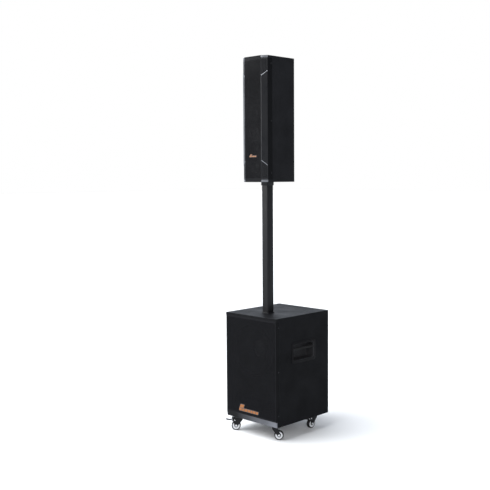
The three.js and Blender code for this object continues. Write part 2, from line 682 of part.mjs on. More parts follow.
// A lever on the fork's pivot pin, with a shoe that comes down on the tread.
function brakePedal() {
  const half = WHEEL_WIDTH / 2;
  const { along, rise, radius } = PEDAL_PIVOT;
  const eye = radius + RUNNING / 2 + PEDAL_EYE;
  const tread = WHEEL_RADIUS + SHOE.clearance;
  const overTread = (x) => WHEEL_RADIUS + Math.sqrt(tread ** 2 - (x - CASTER_TRAIL) ** 2);
  const shoeStart = along + SHOE.start;
  const shoeEnd = shoeStart + SHOE.length;
  const bend = PEDAL_REACH - PEDAL_BEND;
  const under = rise - 1;
  const tip = rise + PEDAL_TIP_RISE;
  const outline = shapeOf([
    [along, rise + eye], [along, under], [shoeStart, under], [shoeStart, overTread(shoeStart)],
    [(shoeStart + shoeEnd) / 2, overTread((shoeStart + shoeEnd) / 2)], [shoeEnd, overTread(shoeEnd)],
    [shoeEnd, under], [bend, under], [PEDAL_REACH, tip],
    [PEDAL_REACH, tip + PEDAL_THICKNESS], [bend, under + PEDAL_THICKNESS],
  ]);
  const lever = facing(outline, -half, 2 * half);
  const boss = rod(eye, -half, half).translate(along, 0, rise);
  const bore = rod(radius + RUNNING / 2, -half - 1, half + 1).translate(along, 0, rise);
  return cut(join(lever, boss), bore);
}

const casters = [
  { name: 'front_left', side: -1, y: subFront + CASTER_FRONT_INSET, heading: -136, braked: true },
  { name: 'front_right', side: 1, y: subFront + CASTER_FRONT_INSET, heading: 44, braked: false },
  { name: 'rear_left', side: -1, y: subRear - CASTER_REAR_INSET, heading: -70, braked: false },
  { name: 'rear_right', side: 1, y: subRear - CASTER_REAR_INSET, heading: -94, braked: true },
];

function addCaster({ name, side, y, heading, braked }) {
  const corner = new THREE.Group();
  corner.position.set(side * (SUB_WIDTH / 2 - CASTER_INSET), y, 0);
  const swivel = new THREE.Group();
  swivel.rotation.z = THREE.MathUtils.degToRad(heading);
  corner.add(swivel);
  system.add(corner);
  place(`caster_plate_${name}`, casterPlate(), material.zinc, corner);
  place(`caster_fork_${name}`, casterFork(braked), material.zinc, swivel);
  place(`caster_wheel_${name}`, casterWheel(), material.wheel, swivel);
  if (braked) place(`brake_pedal_${name}`, brakePedal(), material.zinc, swivel);
}

// ---------------------------------------------------------------- pole and its sockets
function poleTube() {
  const shape = roundedSquare(POLE_SIZE, POLE_CORNER);
  shape.holes.push(roundedSquare(POLE_SIZE - 2 * POLE_WALL, POLE_CORNER - POLE_WALL));
  return upright(shape, subTop - POLE_FOOT, satBottom + POLE_HEAD).translate(0, poleY, 0);
}


function poleSocket() {
  const floor = subTop - POLE_FOOT - GAP;
  const body = join(
    squareAt(wellSize, floor - SOCKET_FLOOR, subTop + GAP + 1),
    squareAt(wellSize + 2 * BASE_COLLAR_LIP, subTop + GAP, subTop + BASE_COLLAR_HEIGHT),
  );
  return cut(body, squareAt(poleRoom, floor, subTop + POLE_EXPOSED / 2));
}

function satSocket() {
  const roof = satBottom + POLE_HEAD + GAP;
  const collarLow = satBottom - TOP_COLLAR_HEIGHT;
  const body = join(
    squareAt(wellSize, collarLow, roof + SOCKET_FLOOR),
    squareAt(topCollar, collarLow, satBottom - GAP),
  );
  const screwHole = rod(LOCK_SHANK_RADIUS + RUNNING / 2, 0, topCollar)
    .translate(0, poleY, satBottom - TOP_COLLAR_HEIGHT / 2);
  return cut(body, squareAt(poleRoom, collarLow - 1, roof), screwHole);
}

function lockKnob() {
  const face = topCollar / 2 + GAP;
  const tip = POLE_SIZE / 2 + RUNNING;
  return turned([
    [0, tip], [LOCK_SHANK_RADIUS, tip], [LOCK_SHANK_RADIUS, face], [LOCK_HEAD_RADIUS, face],
    [LOCK_HEAD_RADIUS, face + LOCK_HEAD_LENGTH], [0, face + LOCK_HEAD_LENGTH],
  ], SMALL_ROUND).translate(0, poleY, satBottom - TOP_COLLAR_HEIGHT / 2);
}

// ---------------------------------------------------------------- satellite
// Where the flat front ends and the swept-back facet begins, from the middle.
const facetInner = SAT_WIDTH / 2 - WING_WIDTH;
const wingBack = satFront + WING_DEPTH;

function satOutline() {
  const w = SAT_WIDTH / 2;
  const r = SAT_CORNER;
  const shape = shapeOf([
    [-w, wingBack], [-facetInner, satFront], [facetInner, satFront], [w, wingBack], [w, satRear - r],
  ]);
  shape.absarc(w - r, satRear - r, r, 0, Math.PI / 2, false);
  shape.absarc(-w + r, satRear - r, r, Math.PI / 2, Math.PI, false);
  return shape;
}

function satWalls() {
  const w = SAT_WIDTH / 2;
  const r = SAT_CORNER;
  const step = wingBack + SAT_FLANGE + GAP;
  const shape = shapeOf([
    [w - SAT_WALL, satBaffleFront], [w - satSeat, satBaffleFront], [w - satSeat, step], [w, step],
  ]);
  shape.lineTo(w, satRear - r);
  shape.absarc(w - r, satRear - r, r, 0, Math.PI / 2, false);
  shape.absarc(-w + r, satRear - r, r, Math.PI / 2, Math.PI, false);
  [
    [-w, step], [-w + satSeat, step], [-w + satSeat, satBaffleFront], [-w + SAT_WALL, satBaffleFront],
    [-w + SAT_WALL, satRear - SAT_WALL], [w - SAT_WALL, satRear - SAT_WALL],
  ].forEach(([x, y]) => shape.lineTo(x, y));
  return shape;
}

function satCabinet() {
  const box = join(
    upright(satOutline(), satTop - SAT_WALL, satTop),
    upright(satOutline(), satBottom, satBottom + SAT_WALL),
    upright(satWalls(), satBottom + SAT_WALL, satTop - SAT_WALL),
  );
  const poleHole = squareAt(wellSize + 2 * GAP, satBottom - 1, satBottom + 2 * SAT_WALL);
  const jackHeight = 2 * (INPUT.radius + GAP);
  const jackHole = facing(
    rectangle(0, satBottom + JACK_PLATE.rise, JACK_PITCH + jackHeight, jackHeight),
    satRear - 2 * SAT_WALL, 3 * SAT_WALL,
  );
  return cut(box, poleHole, jackHole);
}

const midHeights = Array.from({ length: MID_COUNT }, (_, i) => satBottom + MID_FIRST_RISE + i * MID_PITCH);
const hornZ = satTop - HORN_DROP;

function satBaffle() {
  const w = SAT_WIDTH / 2 - SAT_WALL - GAP;
  const [low, high] = [satBottom + SAT_WALL + GAP, satTop - SAT_WALL - GAP];
  const shape = shapeOf([[-w, low], [w, low], [w, high], [-w, high]]);
  midHeights.forEach((z) => shape.holes.push(circle(0, z, around(MID.mouth + MID.wall, MEDIUM_ROUND))));
  const hornHole = [HORN_WIDTH - 2 * HORN_RIM + 2 * (HORN_SKIN + GAP),
    HORN_HEIGHT - 2 * HORN_RIM + 2 * (HORN_SKIN + GAP)];
  shape.holes.push(rectangle(0, hornZ, ...hornHole));
  return facing(shape, satBaffleFront, SAT_BAFFLE_THICKNESS, MEDIUM_ROUND / 2);
}

function satGrille() {
  const w = SAT_WIDTH / 2;
  const back = wingBack + SAT_FLANGE;
  const outline = foldedSheet([
    [-w, back], [-w, wingBack], [-facetInner, satFront], [facetInner, satFront], [w, wingBack], [w, back],
  ], SAT_SHEET);
  return upright(outline, satBottom + SAT_WALL + GAP, satTop - SAT_WALL - GAP);
}

// A trapezoid plate lying on a swept-back facet; side is -1 for left and 1 for right.
function wingTrim(side) {
  const facet = Math.hypot(WING_WIDTH, WING_DEPTH);
  const [inner, outer] = [TRIM_MARGIN, facet - TRIM_MARGIN];
  const outline = shapeOf([
    [inner, satBottom + TRIM_FOOT_INNER], [outer, satBottom + TRIM_FOOT_OUTER],
    [outer, satTop - TRIM_TOP_OUTER], [inner, satTop - TRIM_TOP_INNER],
  ]);
  const plate = facing(outline, -GAP - TRIM_THICKNESS, TRIM_THICKNESS)
    .rotateZ(Math.atan2(WING_DEPTH, WING_WIDTH))
    .translate(facetInner, satFront, 0);
  return side > 0 ? plate : mirrored(plate);
}

// A four-sided funnel from a wide mouth at y = front to a narrow throat behind it.
function funnel(width, height, throat, front, depth, z) {
  return new THREE.CylinderGeometry(throat * Math.SQRT1_2, width * Math.SQRT1_2, depth, 4, 1)
    .rotateY(Math.PI / 4)
    .scale(1, 1, height / width)
    .translate(0, front + depth / 2, z);
}

function horn() {
  const front = satBaffleFront - GAP - HORN_FLANGE;
  const [mouthWidth, mouthHeight] = [HORN_WIDTH - 2 * HORN_RIM, HORN_HEIGHT - 2 * HORN_RIM];
  const skin = 2 * HORN_SKIN;
  const body = join(
    facing(rectangle(0, hornZ, HORN_WIDTH, HORN_HEIGHT), front, HORN_FLANGE),
    funnel(mouthWidth + skin, mouthHeight + skin, HORN_THROAT + skin, front, HORN_DEPTH, hornZ),
  );
  return cut(body, funnel(mouthWidth, mouthHeight, HORN_THROAT, front - 0.5, HORN_DEPTH + 1, hornZ));
}

function jackPlate() {
  const z = satBottom + JACK_PLATE.rise;
  const face = satRear + GAP;
  const plate = facing(rectangle(0, z, JACK_PLATE.width, JACK_PLATE.height), face, JACK_PLATE.thickness);
  const wells = [-1, 1].map((side) => side * (JACK_PITCH / 2));
  const bodies = wells.map((x) =>
    rod(INPUT.radius, face - SAT_WALL - INPUT.depth / 2, face + JACK_PLATE.thickness / 2).translate(x, 0, z));
  const recesses = wells.map((x) =>
    rod(INPUT.recess, face - INPUT.depth, face + JACK_PLATE.thickness + 1).translate(x, 0, z));
  return cut(join(plate, ...bodies), ...recesses);
}

function crossover() {
  const { width, height, thickness, rise, standoff } = CROSSOVER;
  const z = satBottom + rise;
  const back = satRear - SAT_WALL - standoff;
  const front = back - thickness;
  const coils = [-1, 1].map((side) =>
    rod(COIL.radius, front - COIL.length, front + thickness / 2)
      .translate(side * COIL.x, 0, z + side * COIL.z));
  return join(block([-width / 2, front, z - height / 2], [width / 2, back, z + height / 2]), ...coils);
}

// ---------------------------------------------------------------- assembly
place('sub_cabinet', subCabinet(), material.cabinet);
place('sub_baffle', subBaffle(), material.board);
place('sub_grille', subGrille(), material.grille);
place('sub_kick_strip', kickStrip(), material.trim);
place('sub_badge', badge(SUB_BADGE, SUB_BADGE.x, subFront, kickTop + SUB_BADGE.rise), material.badge);
place('port_duct', portDuct(), material.plastic);

const atWoofer = (shape) => shape.translate(0, baffleFront, wooferZ);
place('woofer_frame', atWoofer(basket(WOOFER)), material.basket);
place('woofer_magnet', atWoofer(wooferMagnet()), material.magnet);
place('woofer_cone', atWoofer(cone(WOOFER)), material.paper);

place('handle_right', handleCup(), material.plastic);
place('handle_left', mirrored(handleCup()), material.plastic);

place('amp_plate', ampPlate(), material.amp);
place('amp_heatsink', heatsink(), material.heatsink);
place('amp_board', ampBoard(), material.circuit);
['mic', 'line', 'master'].forEach((name, i) => {
  place(`${name}_level_knob`, knob(knobPlaces[i]), material.knob);
});
inputPlaces.forEach((x, i) => {
  const shape = socket(INPUT, x, ampFace, AMP_THICKNESS, ampZ + SOCKET_RISE);
  place(`input_socket_${i + 1}`, shape, material.plastic);
});
place('speaker_outlet', socket(OUTLET, outletPlace, ampFace, AMP_THICKNESS, ampZ + SOCKET_RISE),
  material.plastic);
place('mains_inlet', mainsInlet(), material.plastic);
place('power_rocker', rocker(), material.knob);

casters.forEach(addCaster);

place('pole_socket', poleSocket(), material.pole);
place('pole_tube', poleTube(), material.pole);

place('sat_pole_socket', satSocket(), material.pole);
place('pole_lock_knob', lockKnob(), material.knob);
place('sat_cabinet', satCabinet(), material.cabinet);
place('sat_baffle', satBaffle(), material.board);
place('sat_grille', satGrille(), material.grille);
place('sat_trim_left', wingTrim(-1), material.trim);
place('sat_trim_right', wingTrim(1), material.trim);
place('sat_badge', badge(SAT_BADGE, 0, satFront, satBottom + SAT_BADGE.rise), material.badge);
midHeights.forEach((z, i) => {
  const magnet = { radius: MID_MAGNET_RADIUS, depth: MID_MAGNET_DEPTH };
  const frame = basket(MID, magnet, MEDIUM_ROUND).translate(0, satBaffleFront, z);
  place(`mid_frame_${i + 1}`, frame, material.basket);
  place(`mid_cone_${i + 1}`, cone(MID, MEDIUM_ROUND).translate(0, satBaffleFront, z), material.paper);
});
place('sat_horn', horn(), material.plastic);
const hornBack = satBaffleFront - GAP - HORN_FLANGE + HORN_DEPTH;
place('sat_tweeter', rod(TWEETER_RADIUS, hornBack + GAP, hornBack + TWEETER_DEPTH, MEDIUM_ROUND)
  .translate(0, 0, hornZ), material.magnet);
place('sat_jack_plate', jackPlate(), material.amp);
place('sat_crossover', crossover(), material.circuit);

export default system;
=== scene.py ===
"""Looks of the column PA system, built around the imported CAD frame. +Z up, the front faces -Y.
The object's sizes are in millimetres, and build and carve make metres of them. The camera and the studio
are in metres."""
import math
import bpy
import bmesh
from mathutils import Matrix, Vector


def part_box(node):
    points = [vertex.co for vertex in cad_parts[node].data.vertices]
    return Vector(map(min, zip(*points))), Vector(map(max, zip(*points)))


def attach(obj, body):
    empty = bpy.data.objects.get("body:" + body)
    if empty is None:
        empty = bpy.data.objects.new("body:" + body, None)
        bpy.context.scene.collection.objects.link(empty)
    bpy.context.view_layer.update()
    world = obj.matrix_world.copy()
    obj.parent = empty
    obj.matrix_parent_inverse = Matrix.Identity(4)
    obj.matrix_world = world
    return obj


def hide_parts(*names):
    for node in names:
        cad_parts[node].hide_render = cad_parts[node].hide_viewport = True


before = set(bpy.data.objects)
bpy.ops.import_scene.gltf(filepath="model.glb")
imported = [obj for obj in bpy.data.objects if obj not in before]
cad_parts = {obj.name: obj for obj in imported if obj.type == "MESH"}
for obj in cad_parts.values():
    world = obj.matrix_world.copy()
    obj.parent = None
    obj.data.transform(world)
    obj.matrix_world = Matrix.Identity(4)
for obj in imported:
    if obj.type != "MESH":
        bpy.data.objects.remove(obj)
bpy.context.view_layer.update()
MM = 0.001


# ---------------------------------------------------------------- camera
CAMERA_AT = (3.1133, -3.3156, 1.3757)
CAMERA_TURN, CAMERA_PITCH, CAMERA_ROLL = (math.radians(angle) for angle in (44.05, 4.6, -0.3))
LENS, SENSOR, SHIFT = 61.98, 36, -0.0408


def set_camera():
    flat = math.cos(CAMERA_PITCH)
    ahead = Vector((-math.sin(CAMERA_TURN) * flat, math.cos(CAMERA_TURN) * flat, -math.sin(CAMERA_PITCH)))
    right = Vector((math.cos(CAMERA_TURN), math.sin(CAMERA_TURN), 0))
    up = right.cross(ahead)
    across = right * math.cos(CAMERA_ROLL) + up * math.sin(CAMERA_ROLL)
    upward = up * math.cos(CAMERA_ROLL) - right * math.sin(CAMERA_ROLL)
    data = bpy.data.cameras.new("camera")
    data.lens, data.sensor_width, data.shift_x = LENS, SENSOR, SHIFT
    data.clip_start, data.clip_end = 0.05, 200
    camera = bpy.data.objects.new("camera", data)
    rotation = Matrix((across, upward, -ahead)).transposed().to_4x4()
    camera.matrix_world = Matrix.Translation(CAMERA_AT) @ rotation
    bpy.context.scene.collection.objects.link(camera)
    bpy.context.scene.camera = camera


set_camera()


# ---------------------------------------------------------------- materials
class Net:
    """Shader nodes, each made and joined to others in one call."""

    def __init__(self, owner):
        owner.use_nodes = True
        self.nodes, self.links = owner.node_tree.nodes, owner.node_tree.links

    def fill(self, node, inputs):
        """Each input gets a value or a link from another node's output."""
        for key, value in inputs.items():
            if isinstance(value, bpy.types.NodeSocket):
                self.links.new(value, node.inputs[key])
            else:
                node.inputs[key].default_value = value

    def add(self, kind, output, inputs, **settings):
        node = self.nodes.new("ShaderNode" + kind)
        for key, value in settings.items():
            setattr(node, key, value)
        self.fill(node, inputs)
        return node.outputs[output]

    def ramp(self, source, low, high, out_low, out_high):
        """A value between out_low and out_high as source goes from low to high."""
        return self.add("MapRange", "Result", {
            "Value": source, "From Min": low, "From Max": high, "To Min": out_low, "To Max": out_high})

    def noise(self, where, scale, detail=3.0, stretch=None):
        if stretch:
            where = self.add("Mapping", "Vector", {"Vector": where, "Scale": stretch})
        return self.add("TexNoise", "Fac", {"Vector": where, "Scale": scale, "Detail": detail})

    def cells(self, where, scale):
        return self.add("TexVoronoi", "Distance", {"Vector": where, "Scale": scale, "Smoothness": 0.6},
                        feature="SMOOTH_F1")

    def blend(self, first, second, share):
        return self.add("Mix", "Result", {"A": first, "B": second, "Factor": share}, data_type="RGBA")


def shade(color, share=1.0):
    return (*[min(1, c * share) for c in color], 1)


def material(name, color, rough, metal=0.0, specular=0.5, coat=0.0, vary=0.15, patch=9.0, pebble=None,
             grain=None, edge=None, stretch=None, painted_reflection_ramp=None):
    """A surface whose colour and roughness vary. pebble and grain are bumps of (scale per metre, strength,
    height in mm), edge is (radius in mm, colour) of a painted highlight, paint made paler along the edges,
    and the last argument is (from x, to x, share of the colour at from x), a painted reflection that darkens
    the colour towards from x."""
    made = bpy.data.materials.new(name)
    net = Net(made)
    where = net.add("TexCoord", "Object", {})
    broad, fine = net.noise(where, patch, 4.0, stretch), net.noise(where, patch * 60, 2.0, stretch)
    both = net.add("Math", 0, {0: fine, 1: 0.5, 2: broad}, operation="MULTIPLY_ADD")
    tint = net.blend(shade(color, 1 - vary), shade(color, 1 + vary), net.ramp(both, 0.5, 1.0, 0, 1))
    # Painted reflection: the colour is darkened along x towards the start of the ramp, in place of a
    # reflection of the floor.
    if painted_reflection_ramp:
        start, end, share = painted_reflection_ramp
        across = net.add("SeparateXYZ", "X", {0: where})
        tint = net.blend(shade(color, share), tint, net.ramp(across, start, end, 0, 1))
    if edge:
        # Painted highlight: the paint is made paler in patches along its rounded edges, where they catch
        # light.
        radius, pale = edge
        round_normal = net.add("Bevel", "Normal", {"Radius": radius * MM}, samples=4)
        normal = net.add("NewGeometry", "Normal", {})
        bend = net.add("VectorMath", "Value", {0: round_normal, 1: normal}, operation="DOT_PRODUCT")
        patches = net.ramp(net.noise(where, 45, 5.0), 0.35, 0.65, 0.25, 1)
        edge_highlight = net.add("Math", 0, {0: net.ramp(bend, 0.995, 0.90, 0, 1), 1: patches}, operation="MULTIPLY")
        tint = net.blend(tint, shade(pale), edge_highlight)
    surface = {"Base Color": tint, "Roughness": net.ramp(both, 0.5, 1.0, rough + 0.08, rough - 0.08),
               "Metallic": metal, "Specular IOR Level": specular, "Coat Weight": coat, "Coat Roughness": 0.25}
    for pattern, bump in ((net.cells, pebble), (net.noise, grain)):
        if bump:
            scale, strength, height = bump
            relief = {"Strength": strength, "Distance": height * MM, "Height": pattern(where, scale)}
            if "Normal" in surface:
                relief["Normal"] = surface["Normal"]
            surface["Normal"] = net.add("Bump", "Normal", relief)
    net.fill(net.nodes["Principled BSDF"], surface)
    return made


# Radius and pale grey of a painted highlight along rounded edges.
EDGE_HIGHLIGHT = (1.5, (0.04, 0.042, 0.048))
mat = {
    "cabinet": material("textured_cabinet_paint", (0.0058, 0.006, 0.0071), 0.5, specular=0.075, vary=0.3,
        pebble=(520, 0.55, 0.5), grain=(1300, 0.35, 0.25), edge=EDGE_HIGHLIGHT),
    "sat_paint": material("satellite_cabinet_paint", (0.0105, 0.0108, 0.0124), 0.52, specular=0.1, vary=0.3,
        pebble=(520, 0.45, 0.4), grain=(1300, 0.35, 0.25), edge=EDGE_HIGHLIGHT),
    "board": material("black_painted_board", (0.012, 0.012, 0.013), 0.75, specular=0.2,
        grain=(260, 0.3, 0.3)),
    "grille": material("grille_powder_coat", (0.0066, 0.0068, 0.0084), 0.45, specular=0.1, vary=0.2,
        grain=(1500, 0.25, 0.12)),
    # A lighter copy of the grille coat for the angled wings: painted light where they face the light.
    "grille_wing": material("grille_wing_painted_light", (0.016, 0.0165, 0.019), 0.42, specular=0.3, vary=0.2,
        grain=(1500, 0.25, 0.12)),
    # The kick strip's colour darkens towards its left end: a painted reflection of the floor.
    "kick": material("kick_strip_paint", (0.22, 0.228, 0.252), 0.36, metal=0.5, specular=0.3, patch=14,
        vary=0.2, grain=(420, 0.12, 0.12), painted_reflection_ramp=(-0.11, 0.17, 0.03)),
    # A darker copy of the grille coat for the side flanges and the folds: painted shade.
    "flange": material("folded_flange_painted_shade", (0.0046, 0.0048, 0.0056), 0.5, specular=0.08, vary=0.2,
        grain=(1500, 0.25, 0.12)),
    # A paler plastic for the inside of the handle recess: painted light that lifts the shade in the recess.
    "cup": material("handle_recess_painted_light", (0.02, 0.02, 0.022), 0.6, specular=0.3, vary=0.2,
        pebble=(1600, 0.3, 0.15)),
    "trim": material("satin_trim", (0.0085, 0.0088, 0.0105), 0.3, specular=0.35, grain=(900, 0.12, 0.08)),
    # Paler copies of the trim for its chamfers: painted highlights on the inner edge and on the slanted ends.
    # The pale grey one is also the ring on the speaker outlet.
    "trim_line": material("trim_inner_edge_painted_highlight", (0.022, 0.023, 0.027), 0.34, metal=0.2, grain=(1200, 0.1, 0.05)),
    "trim_edge": material("trim_bright_edge", (0.36, 0.37, 0.4), 0.3, metal=0.2, vary=0.1,
        grain=(1200, 0.1, 0.05)),
    # A much paler copy of the satellite paint for its angled front facets: a painted reflection of the light.
    "wing_end": material("wing_end_painted_reflection", (0.17, 0.175, 0.19), 0.34, metal=0.35, specular=0.5, vary=0.2,
        patch=40, grain=(900, 0.15, 0.08)),
    "orange": material("orange_enamel", (0.33, 0.115, 0.02), 0.38, coat=0.2, vary=0.12, patch=30,
        grain=(700, 0.1, 0.1)),
    "badge_rim": material("badge_rim", (0.085, 0.088, 0.095), 0.4, metal=0.3, patch=30,
        grain=(900, 0.1, 0.05)),
    "plastic": material("moulded_black_plastic", (0.0066, 0.0067, 0.0075), 0.5, specular=0.1, vary=0.2,
        pebble=(1600, 0.3, 0.15)),
    "rubber": material("soft_touch_rubber", (0.011, 0.011, 0.0115), 0.7, specular=0.25,
        grain=(1800, 0.3, 0.1)),
    "basket": material("stamped_basket", (0.016, 0.016, 0.017), 0.45, metal=0.5, specular=0.4,
        grain=(900, 0.2, 0.1)),
    "paper": material("cone_paper", (0.022, 0.0215, 0.021), 0.85, specular=0.25, vary=0.3, patch=40,
        grain=(900, 0.5, 0.35)),
    "surround": material("foam_surround", (0.012, 0.012, 0.0125), 0.6, specular=0.3, grain=(1600, 0.3, 0.15)),
    "cap": material("pressed_dust_cap", (0.03, 0.03, 0.032), 0.42, specular=0.5, patch=40,
        grain=(1100, 0.25, 0.12)),
    "magnet": material("ferrite", (0.045, 0.045, 0.05), 0.6, metal=0.4, grain=(700, 0.4, 0.3)),
    "amp": material("amp_powder_coat", (0.01, 0.01, 0.011), 0.5, specular=0.3, vary=0.2,
        pebble=(1500, 0.4, 0.15), edge=EDGE_HIGHLIGHT),
    "heatsink": material("anodised_fins", (0.07, 0.07, 0.076), 0.38, metal=0.85, stretch=(1, 1, 0.04),
        grain=(1300, 0.15, 0.08), edge=EDGE_HIGHLIGHT),
    "print": material("panel_print", (0.5, 0.51, 0.52), 0.55, vary=0.08, grain=(900, 0.1, 0.03)),
    "circuit": material("solder_mask", (0.02, 0.13, 0.06), 0.35, coat=0.4, grain=(500, 0.3, 0.2)),
    # Its edges are made paler as a painted highlight.
    "steel": material("black_pressed_steel", (0.008, 0.008, 0.009), 0.4, metal=0.2, specular=0.3,
        grain=(800, 0.15, 0.1), edge=(0.8, (0.09, 0.092, 0.1))),
    "bright": material("plated_steel", (0.8, 0.81, 0.83), 0.3, metal=1.0, vary=0.1, grain=(900, 0.12, 0.05)),
    "screw": material("black_screw", (0.035, 0.036, 0.04), 0.35, metal=0.7, grain=(900, 0.2, 0.05)),
    "nylon": material("pale_nylon_core", (0.8, 0.81, 0.83), 0.3, specular=1.0, coat=0.6, vary=0.05,
        grain=(900, 0.15, 0.1)),
    "tread": material("black_tread", (0.01, 0.01, 0.0105), 0.62, specular=0.3, grain=(900, 0.35, 0.2)),
    "pole": material("pole_powder_coat", (0.0045, 0.0047, 0.0058), 0.33, specular=0.27, vary=0.15,
        grain=(1100, 0.18, 0.08)),
    "lamp": material("indicator_lens", (0.05, 0.35, 0.12), 0.2, coat=0.6, patch=60, grain=(500, 0.1, 0.05)),
}


# ---------------------------------------------------------------- mesh building
class Shape:
    """Vertices, faces and each face's material number."""

    def __init__(self):
        self.points, self.faces, self.looks = [], [], []

    def add(self, made, look=0, at=None):
        points, faces = made
        start = len(self.points)
        self.points += [tuple(at @ Vector(p)) for p in points] if at else [tuple(p) for p in points]
        self.faces += [tuple(i + start for i in face) for face in faces]
        self.looks += [look] * len(faces)
        return self


def prism(outline, low, high):
    """An outline of (u, v), anticlockwise, raised from w = low to w = high."""
    n = len(outline)
    points = [(u, v, w) for w in (low, high) for u, v in outline]
    faces = [tuple(range(n - 1, -1, -1)), tuple(range(n, 2 * n))]
    faces += [(i, (i + 1) % n, n + (i + 1) % n, n + i) for i in range(n)]
    return points, faces


def loft(rings, close=False):
    """Rings with the same number of points, joined in order; closed rings of (x, y, z)."""
    n = len(rings[0])
    points = [p for ring in rings for p in ring]
    faces = [
        (r * n + i, r * n + (i + 1) % n, (r + 1) * n + (i + 1) % n, (r + 1) * n + i)
        for r in range(len(rings) - 1) for i in range(n)
    ]
    if close:
        faces += [tuple(range(n - 1, -1, -1)), tuple(range(len(points) - n, len(points)))]
    return points, faces


def lathe(profile, segments=48):
    """A profile of (radius, height) turned about w; an end on the axis is closed with a fan."""
    points, faces, rings = [], [], []
    for radius, height in profile:
        if radius < 1e-9:
            rings.append([len(points)] * segments)
            points.append((0, 0, height))
        else:
            rings.append(list(range(len(points), len(points) + segments)))
            for i in range(segments):
                a = 2 * math.pi * i / segments
                points.append((radius * math.cos(a), radius * math.sin(a), height))
    for a, b in zip(rings, rings[1:]):
        for i in range(segments):
            j = (i + 1) % segments
            face = []
            for index in (a[i], a[j], b[j], b[i]):
                if index not in face:
                    face.append(index)
            if len(face) > 2:
                faces.append(tuple(face))
    return points, faces


def rounded(width, height, radius, steps=4, x=0.0, y=0.0):
    """A rectangle with round corners, anticlockwise, about (x, y)."""
    out = []
    for k, (sx, sy) in enumerate(((1, 1), (-1, 1), (-1, -1), (1, -1))):
        for i in range(steps + 1):
            a = math.pi / 2 * (k + i / steps)
            out.append((x + sx * (width / 2 - radius) + radius * math.cos(a),
                        y + sy * (height / 2 - radius) + radius * math.sin(a)))
    return out


def disc(radius, segments=20, x=0.0, y=0.0):
    turns = [2 * math.pi * i / segments for i in range(segments)]
    return [(x + radius * math.cos(a), y + radius * math.sin(a)) for a in turns]


def axes(origin, u, v, w):
    """Puts (u, v, w) at origin along three directions."""
    out = Matrix((Vector(u), Vector(v), Vector(w))).transposed().to_4x4()
    out.translation = Vector(origin)
    return out


def facing_front(x, y, z):
    """Local w comes out of the front, u runs to the right and v up."""
    return axes((x, y, z), (1, 0, 0), (0, 0, 1), (0, -1, 0))


def facing_rear(x, y, z):
    return axes((x, y, z), (-1, 0, 0), (0, 0, 1), (0, 1, 0))


def facing_side(side, x, y, z):
    """Local w comes out of the right side (side 1) or the left one (side -1)."""
    return axes((x, y, z), (0, side, 0), (0, 0, 1), (side, 0, 0))


def in_metres(points):
    return [tuple(c * MM for c in point) for point in points]


def build(name, shape, looks, body, replaces=(), slot=None, bevel=0.0, segments=2, smooth=32):
    """A piece from a Shape, with its materials, softened edges, CAD body and stand-in."""
    mesh = bpy.data.meshes.new(name)
    mesh.from_pydata(in_metres(shape.points), [], shape.faces)
    mesh.polygons.foreach_set("material_index", shape.looks)
    for look in looks:
        mesh.materials.append(mat[look])
    mesh.polygons.foreach_set("use_smooth", [True] * len(mesh.polygons))
    mesh.validate()
    mesh.set_sharp_from_angle(angle=math.radians(smooth))
    piece = bpy.data.objects.new(name, mesh)
    bpy.context.scene.collection.objects.link(piece)
    return dress(piece, body, replaces, slot, bevel, segments)


def dress(piece, body, replaces=(), slot=None, bevel=0.0, segments=2):
    if bevel:
        soften = piece.modifiers.new("edges", "BEVEL")
        soften.width, soften.segments = bevel * MM, segments
        soften.limit_method, soften.angle_limit = "ANGLE", math.radians(35)
        soften.harden_normals = True
    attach(piece, body)
    if replaces:
        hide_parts(*replaces)
    return piece


def slab(low, high):
    """A block between two corners."""
    (x0, y0, z0), (x1, y1, z1) = low, high
    return prism([(x0, y0), (x1, y0), (x1, y1), (x0, y1)], z0, z1)


def along_x(outline, x0, x1):
    """An outline of (y, z) raised from x0 to x1."""
    points, faces = prism(outline, x0, x1)
    return [(w, u, v) for u, v, w in points], faces


def along_y(outline, y0, y1):
    """An outline of (x, z) raised from y0 to y1."""
    points, faces = prism(outline, -y1, -y0)
    return [(u, -w, v) for u, v, w in points], faces


def peg(x, z, radius, y0, y1):
    """A round cutter along Y."""
    return along_y(disc(radius, 36, x, z), y0, y1)


def tube(rows, close=False, wrap=False, steps=5):
    """A loft through round-cornered rows of (width, height, corner radius, w); wrap joins the last to the
    first."""
    rings = [[(u, v, w) for u, v in rounded(*row, steps)] for *row, w in rows]
    return loft(rings + rings[:1] if wrap else rings, close)


def both_ways(half_profile):
    """A profile continued by its mirror image in w = 0."""
    return half_profile + [(radius, -w) for radius, w in reversed(half_profile)]


def knurled(rows, sides, every, first):
    """Rings of (w, radius, ridge); from point number first, one in every so many is lower by the ridge."""
    rings = []
    for w, base, ridge in rows:
        spokes = [(base - ridge * (i % every == first), 2 * math.pi * i / sides) for i in range(sides)]
        rings.append([(r * math.cos(a), r * math.sin(a), w) for r, a in spokes])
    return loft(rings, True)


def four(u, v):
    return [(a * u, b * v) for a in (-1, 1) for b in (-1, 1)]


def shifted(place, u, v, w=0.0):
    return place @ Matrix.Translation((u, v, w))


